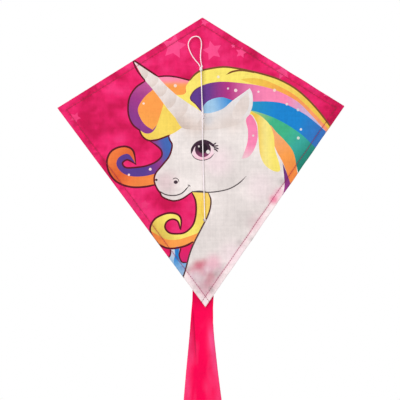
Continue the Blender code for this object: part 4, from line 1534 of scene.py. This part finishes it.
def pocket_lines(base, half_width):
    """The pocket's outer and inner lines across the rod, as (across, y) pairs from side to side."""

    def over_rod(foot, radius):
        half = foot + [(radius + 0.02, ROD_Y - 0.9)]
        half += [(radius * math.cos(t), ROD_Y + radius * math.sin(t)) for t in turns_of(36)[:9]]
        return half + [(0.0, ROD_Y + radius)] + [(-a, y) for a, y in reversed(half)]

    outer = over_rod(
        [(half_width, base), (half_width, base + 0.30), (half_width - 0.15, base + 0.42), (4.1, base + 0.45),
         (3.45, base + 0.75), (3.0, base + 1.5)], 2.8)
    inner = over_rod([(half_width - 0.5, base), (3.7, base), (3.0, base + 0.45), (2.5, base + 1.4)], 2.3)
    return outer, inner


class KITE_OT_pockets(bpy.types.Operator):
    """Make the four rod pockets and the two bridle patches of woven tape"""

    bl_idname = "kite.pockets"
    bl_label = "Pockets and patches"

    def execute(self, context):
        tape = cloth_material(
            "woven_tape", context.scene.kite_colours.tape, threads=1300.0, slub=0.22, crease=0.7,
            distance=0.0003, Roughness=0.75, Sheen_Weight=0.2)
        stations = (
            0.0, 0.12, 0.3, 0.6, 0.95, 1.4, 3, 5, 7, 9, 11, 13, 15, 16.6, 16.9, 17.3, 17.8, POCKET_LENGTH)
        for label, outer, inward, across_way in corner_frames():
            base = pocket_base(label)
            lift = base + 0.45
            rings = []
            for along in stations:
                rise = math.sqrt(max(0.0, 1 - (1 - min(along / 1.4, 1.0)) ** 2))
                rim = 0.12 if along > 16.7 else 0.0
                half_width = max(pocket_half_width(along), 3.3 + 3.7 * 0.18)
                over, under = pocket_lines(base, half_width)
                centre = outer + inward * (POCKET_SETBACK + along)
                ring = []
                for number, (across, y) in enumerate(over + under[::-1]):
                    if y > lift:
                        y = lift + (y - lift) * max(rise, 0.02) + (rim if number < len(over) else 0.0)
                    ring.append(at(*(centre + across_way * across + Vector((0, y, 0)))))
                rings.append(ring)
            mesh = rings_mesh(f"rod_pocket_{label}", rings)
            pocket = make_object(f"rod_pocket_{label}", mesh, tape, 55)
            kite_piece(pocket, "pocket_cloth", f"pocket_{label}")

        section = (
            (1.6, 0.10), (1.6, 0.34), (1.9, 0.44), (4.9, 0.40), (5.2, 0.33), (5.5, 0.42), (5.8, 0.38),
            (5.98, 0.20), (5.98, 0.02), (4.0, 0.0), (1.9, 0.0))
        for label, height in (("upper", UPPER_HOLE_Z), ("lower", LOWER_HOLE_Z)):
            rings = []
            for turn in turns_of(72):
                pucker = 0.03 * math.sin(12 * turn)
                rings.append([
                    at(r * math.cos(turn), y + (pucker if 4.5 < r < 5.7 and y > 0.2 else 0.0),
                       height + r * math.sin(turn)) for r, y in section])
            mesh = rings_mesh(f"patch_{label}", rings, closed_along=True)
            patch = make_object(f"hole_patch_{label}", mesh, tape, 55)
            kite_piece(patch, "pocket_cloth", f"bridle_patch_{label}")
        return {"FINISHED"}


def stitch_tree():
    """Lays stitches end to end along a line: each is a short thread dipping into the cloth at both ends."""
    tree = bpy.data.node_groups.new("Row of stitches", "GeometryNodeTree")
    for label, way, kind in (
            ("Geometry", "INPUT", "Geometry"), ("Pitch", "INPUT", "Float"), ("Length", "INPUT", "Float"),
            ("Width", "INPUT", "Float"), ("Material", "INPUT", "Material"),
            ("Geometry", "OUTPUT", "Geometry")):
        tree.interface.new_socket(label, in_out=way, socket_type=f"NodeSocket{kind}")
    given = add_node(tree, "NodeGroupInput").outputs
    line = add_node(tree, "GeometryNodeMeshToCurve", {"Mesh": given["Geometry"]})
    even = add_node(
        tree, "GeometryNodeResampleCurve", {"Curve": line.outputs["Curve"], "Length": given["Pitch"]},
        mode="LENGTH")
    tangent = add_node(tree, "GeometryNodeInputTangent")
    turn = add_node(
        tree, "FunctionNodeAlignRotationToVector", {"Vector": tangent.outputs["Tangent"]}, axis="Z")
    thread = add_node(tree, "GeometryNodeMeshUVSphere", {"Segments": 8, "Rings": 6, "Radius": 0.5})
    size = add_node(
        tree, "ShaderNodeCombineXYZ", {"X": given["Width"], "Y": given["Width"], "Z": given["Length"]})
    laid = add_node(tree, "GeometryNodeInstanceOnPoints", {
        "Points": even.outputs["Curve"], "Instance": thread.outputs["Mesh"],
        "Rotation": turn.outputs["Rotation"], "Scale": size.outputs["Vector"]})
    solid = add_node(tree, "GeometryNodeRealizeInstances", {"Geometry": laid.outputs["Instances"]})
    smooth = add_node(tree, "GeometryNodeSetShadeSmooth", {"Geometry": solid.outputs["Geometry"]})
    finish = add_node(tree, "GeometryNodeSetMaterial", {
        "Geometry": smooth.outputs["Geometry"], "Material": given["Material"]})
    add_node(tree, "NodeGroupOutput", {"Geometry": finish.outputs["Geometry"]})
    return tree


class KITE_OT_stitches(bpy.types.Operator):
    """Sew the rows of stitches along the hems, the pockets and the patches"""

    bl_idname = "kite.stitches"
    bl_label = "Stitches"

    def execute(self, context):
        sizes = context.scene.kite_sizes
        thread, pale_thread = (
            cloth_material(
                name, colour_of_thread, threads=5000.0, slub=0.3, crease=0.2, distance=0.00004, Roughness=0.6)
            for name, colour_of_thread in (
                ("sewing_thread", context.scene.kite_colours.thread),
                ("pale_thread", context.scene.kite_colours.tape)))
        tree = stitch_tree()

        def sew(name, lines, material, slot_name, pitch, size):
            points, edges = [], []
            for line in lines:
                first = len(points)
                points += line
                edges += [(first + k, first + k + 1) for k in range(len(line) - 1)]
            mesh = bpy.data.meshes.new(name)
            mesh.from_pydata([tuple(p) for p in points], edges, [])
            item = bpy.data.objects.new(name, mesh)
            context.scene.collection.objects.link(item)
            modifier = item.modifiers.new("stitches", "NODES")
            modifier.node_group = tree
            values = {"Pitch": pitch, "Length": size, "Width": sizes.thread_width, "Material": material}
            for socket in tree.interface.items_tree:
                if socket.name in values:
                    modifier[socket.identifier] = values[socket.name]
            apply_modifiers(item)
            kite_piece(item, slot_name)

        front, back = self.hem_lines(sizes)
        sew("hem_stitches_front", front, thread, "sail_cloth", sizes.stitch_pitch, sizes.stitch_length)
        sew("hem_stitches_back", back, thread, "sail_cloth", sizes.stitch_pitch, sizes.stitch_length)
        sew("tape_stitches", self.tape_lines(), pale_thread, "pocket_cloth", 0.0019, 0.0015)
        return {"FINISHED"}

    def hem_lines(self, sizes):
        """One row along each edge, on both faces. The lower rows run on across the foot."""
        ripple = sizes.ripple / MM
        rows = inset_corners(sizes.stitch_inset / MM)
        front, back = [], []
        for i in range(4):
            start, end = rows[i], rows[(i + 1) % 4]
            ahead = (end - start).normalized()
            first = start - ahead * (STITCH_OVERRUN if i == 2 else 0.0)
            last = end + ahead * (STITCH_OVERRUN if i == 1 else 0.0)
            count = max(2, round((last - first).length / 1.5))
            line = [first.lerp(last, k / count) for k in range(count + 1)]
            xs, zs = np.array([p.x for p in line]), np.array([p.y for p in line])
            wave = sail_wave(xs, zs, ripple)
            step = hem_step(xs, zs, sizes.hem_width / MM)
            front.append([at(p.x, SAIL_FRONT_Y + w + s - 0.06, p.y) for p, w, s in zip(line, wave, step)])
            back.append([at(p.x, 0.46 + w, p.y) for p, w in zip(line, wave)])
        return front, back

    def tape_lines(self):
        """Two rows along each pocket and a ring round each patch."""
        lines = []
        for label, outer, inward, across_way in corner_frames():
            for way in (-1, 1):
                line = []
                for k in range(9):
                    along = 4.0 + 13.2 * k / 8
                    across = way * max(pocket_half_width(along) - 1.1, 4.15)
                    line.append(at(*(outer + inward * (POCKET_SETBACK + along) + across_way * across
                                     + Vector((0, pocket_base(label) + 0.50, 0)))))
                lines.append(line)
        for height in (UPPER_HOLE_Z, LOWER_HOLE_Z):
            turns = turns_of(48)
            lines.append([
                at(5.2 * math.cos(turn), 0.40, height + 5.2 * math.sin(turn)) for turn in turns + turns[:1]])
        return lines


class KITE_PT_panel(bpy.types.Panel):
    """Sizes, colours and steps of the kite"""

    bl_label = "Diamond kite"
    bl_idname = "KITE_PT_panel"
    bl_space_type = "VIEW_3D"
    bl_region_type = "UI"
    bl_category = "Kite"

    def draw(self, context):
        for operator in OPERATORS:
            self.layout.operator(operator.bl_idname)
        for group in (context.scene.kite_sizes, context.scene.kite_colours):
            box = self.layout.box()
            for name in type(group).__annotations__:
                box.prop(group, name)


OPERATORS = (
    KITE_OT_stage, KITE_OT_bridle, KITE_OT_sail, KITE_OT_tail, KITE_OT_rods, KITE_OT_pockets,
    KITE_OT_stitches)
CLASSES = (KiteColours, KiteSizes) + OPERATORS + (KITE_PT_panel,)


def register():
    for item in CLASSES:
        bpy.utils.register_class(item)
    bpy.types.Scene.kite_colours = PointerProperty(type=KiteColours)
    bpy.types.Scene.kite_sizes = PointerProperty(type=KiteSizes)


def unregister():
    del bpy.types.Scene.kite_sizes
    del bpy.types.Scene.kite_colours
    for item in reversed(CLASSES):
        bpy.utils.unregister_class(item)


def main():
    register()
    for operator in OPERATORS:
        group, name = operator.bl_idname.split(".")
        getattr(getattr(bpy.ops, group), name)()


if __name__ == "__main__":
    main()
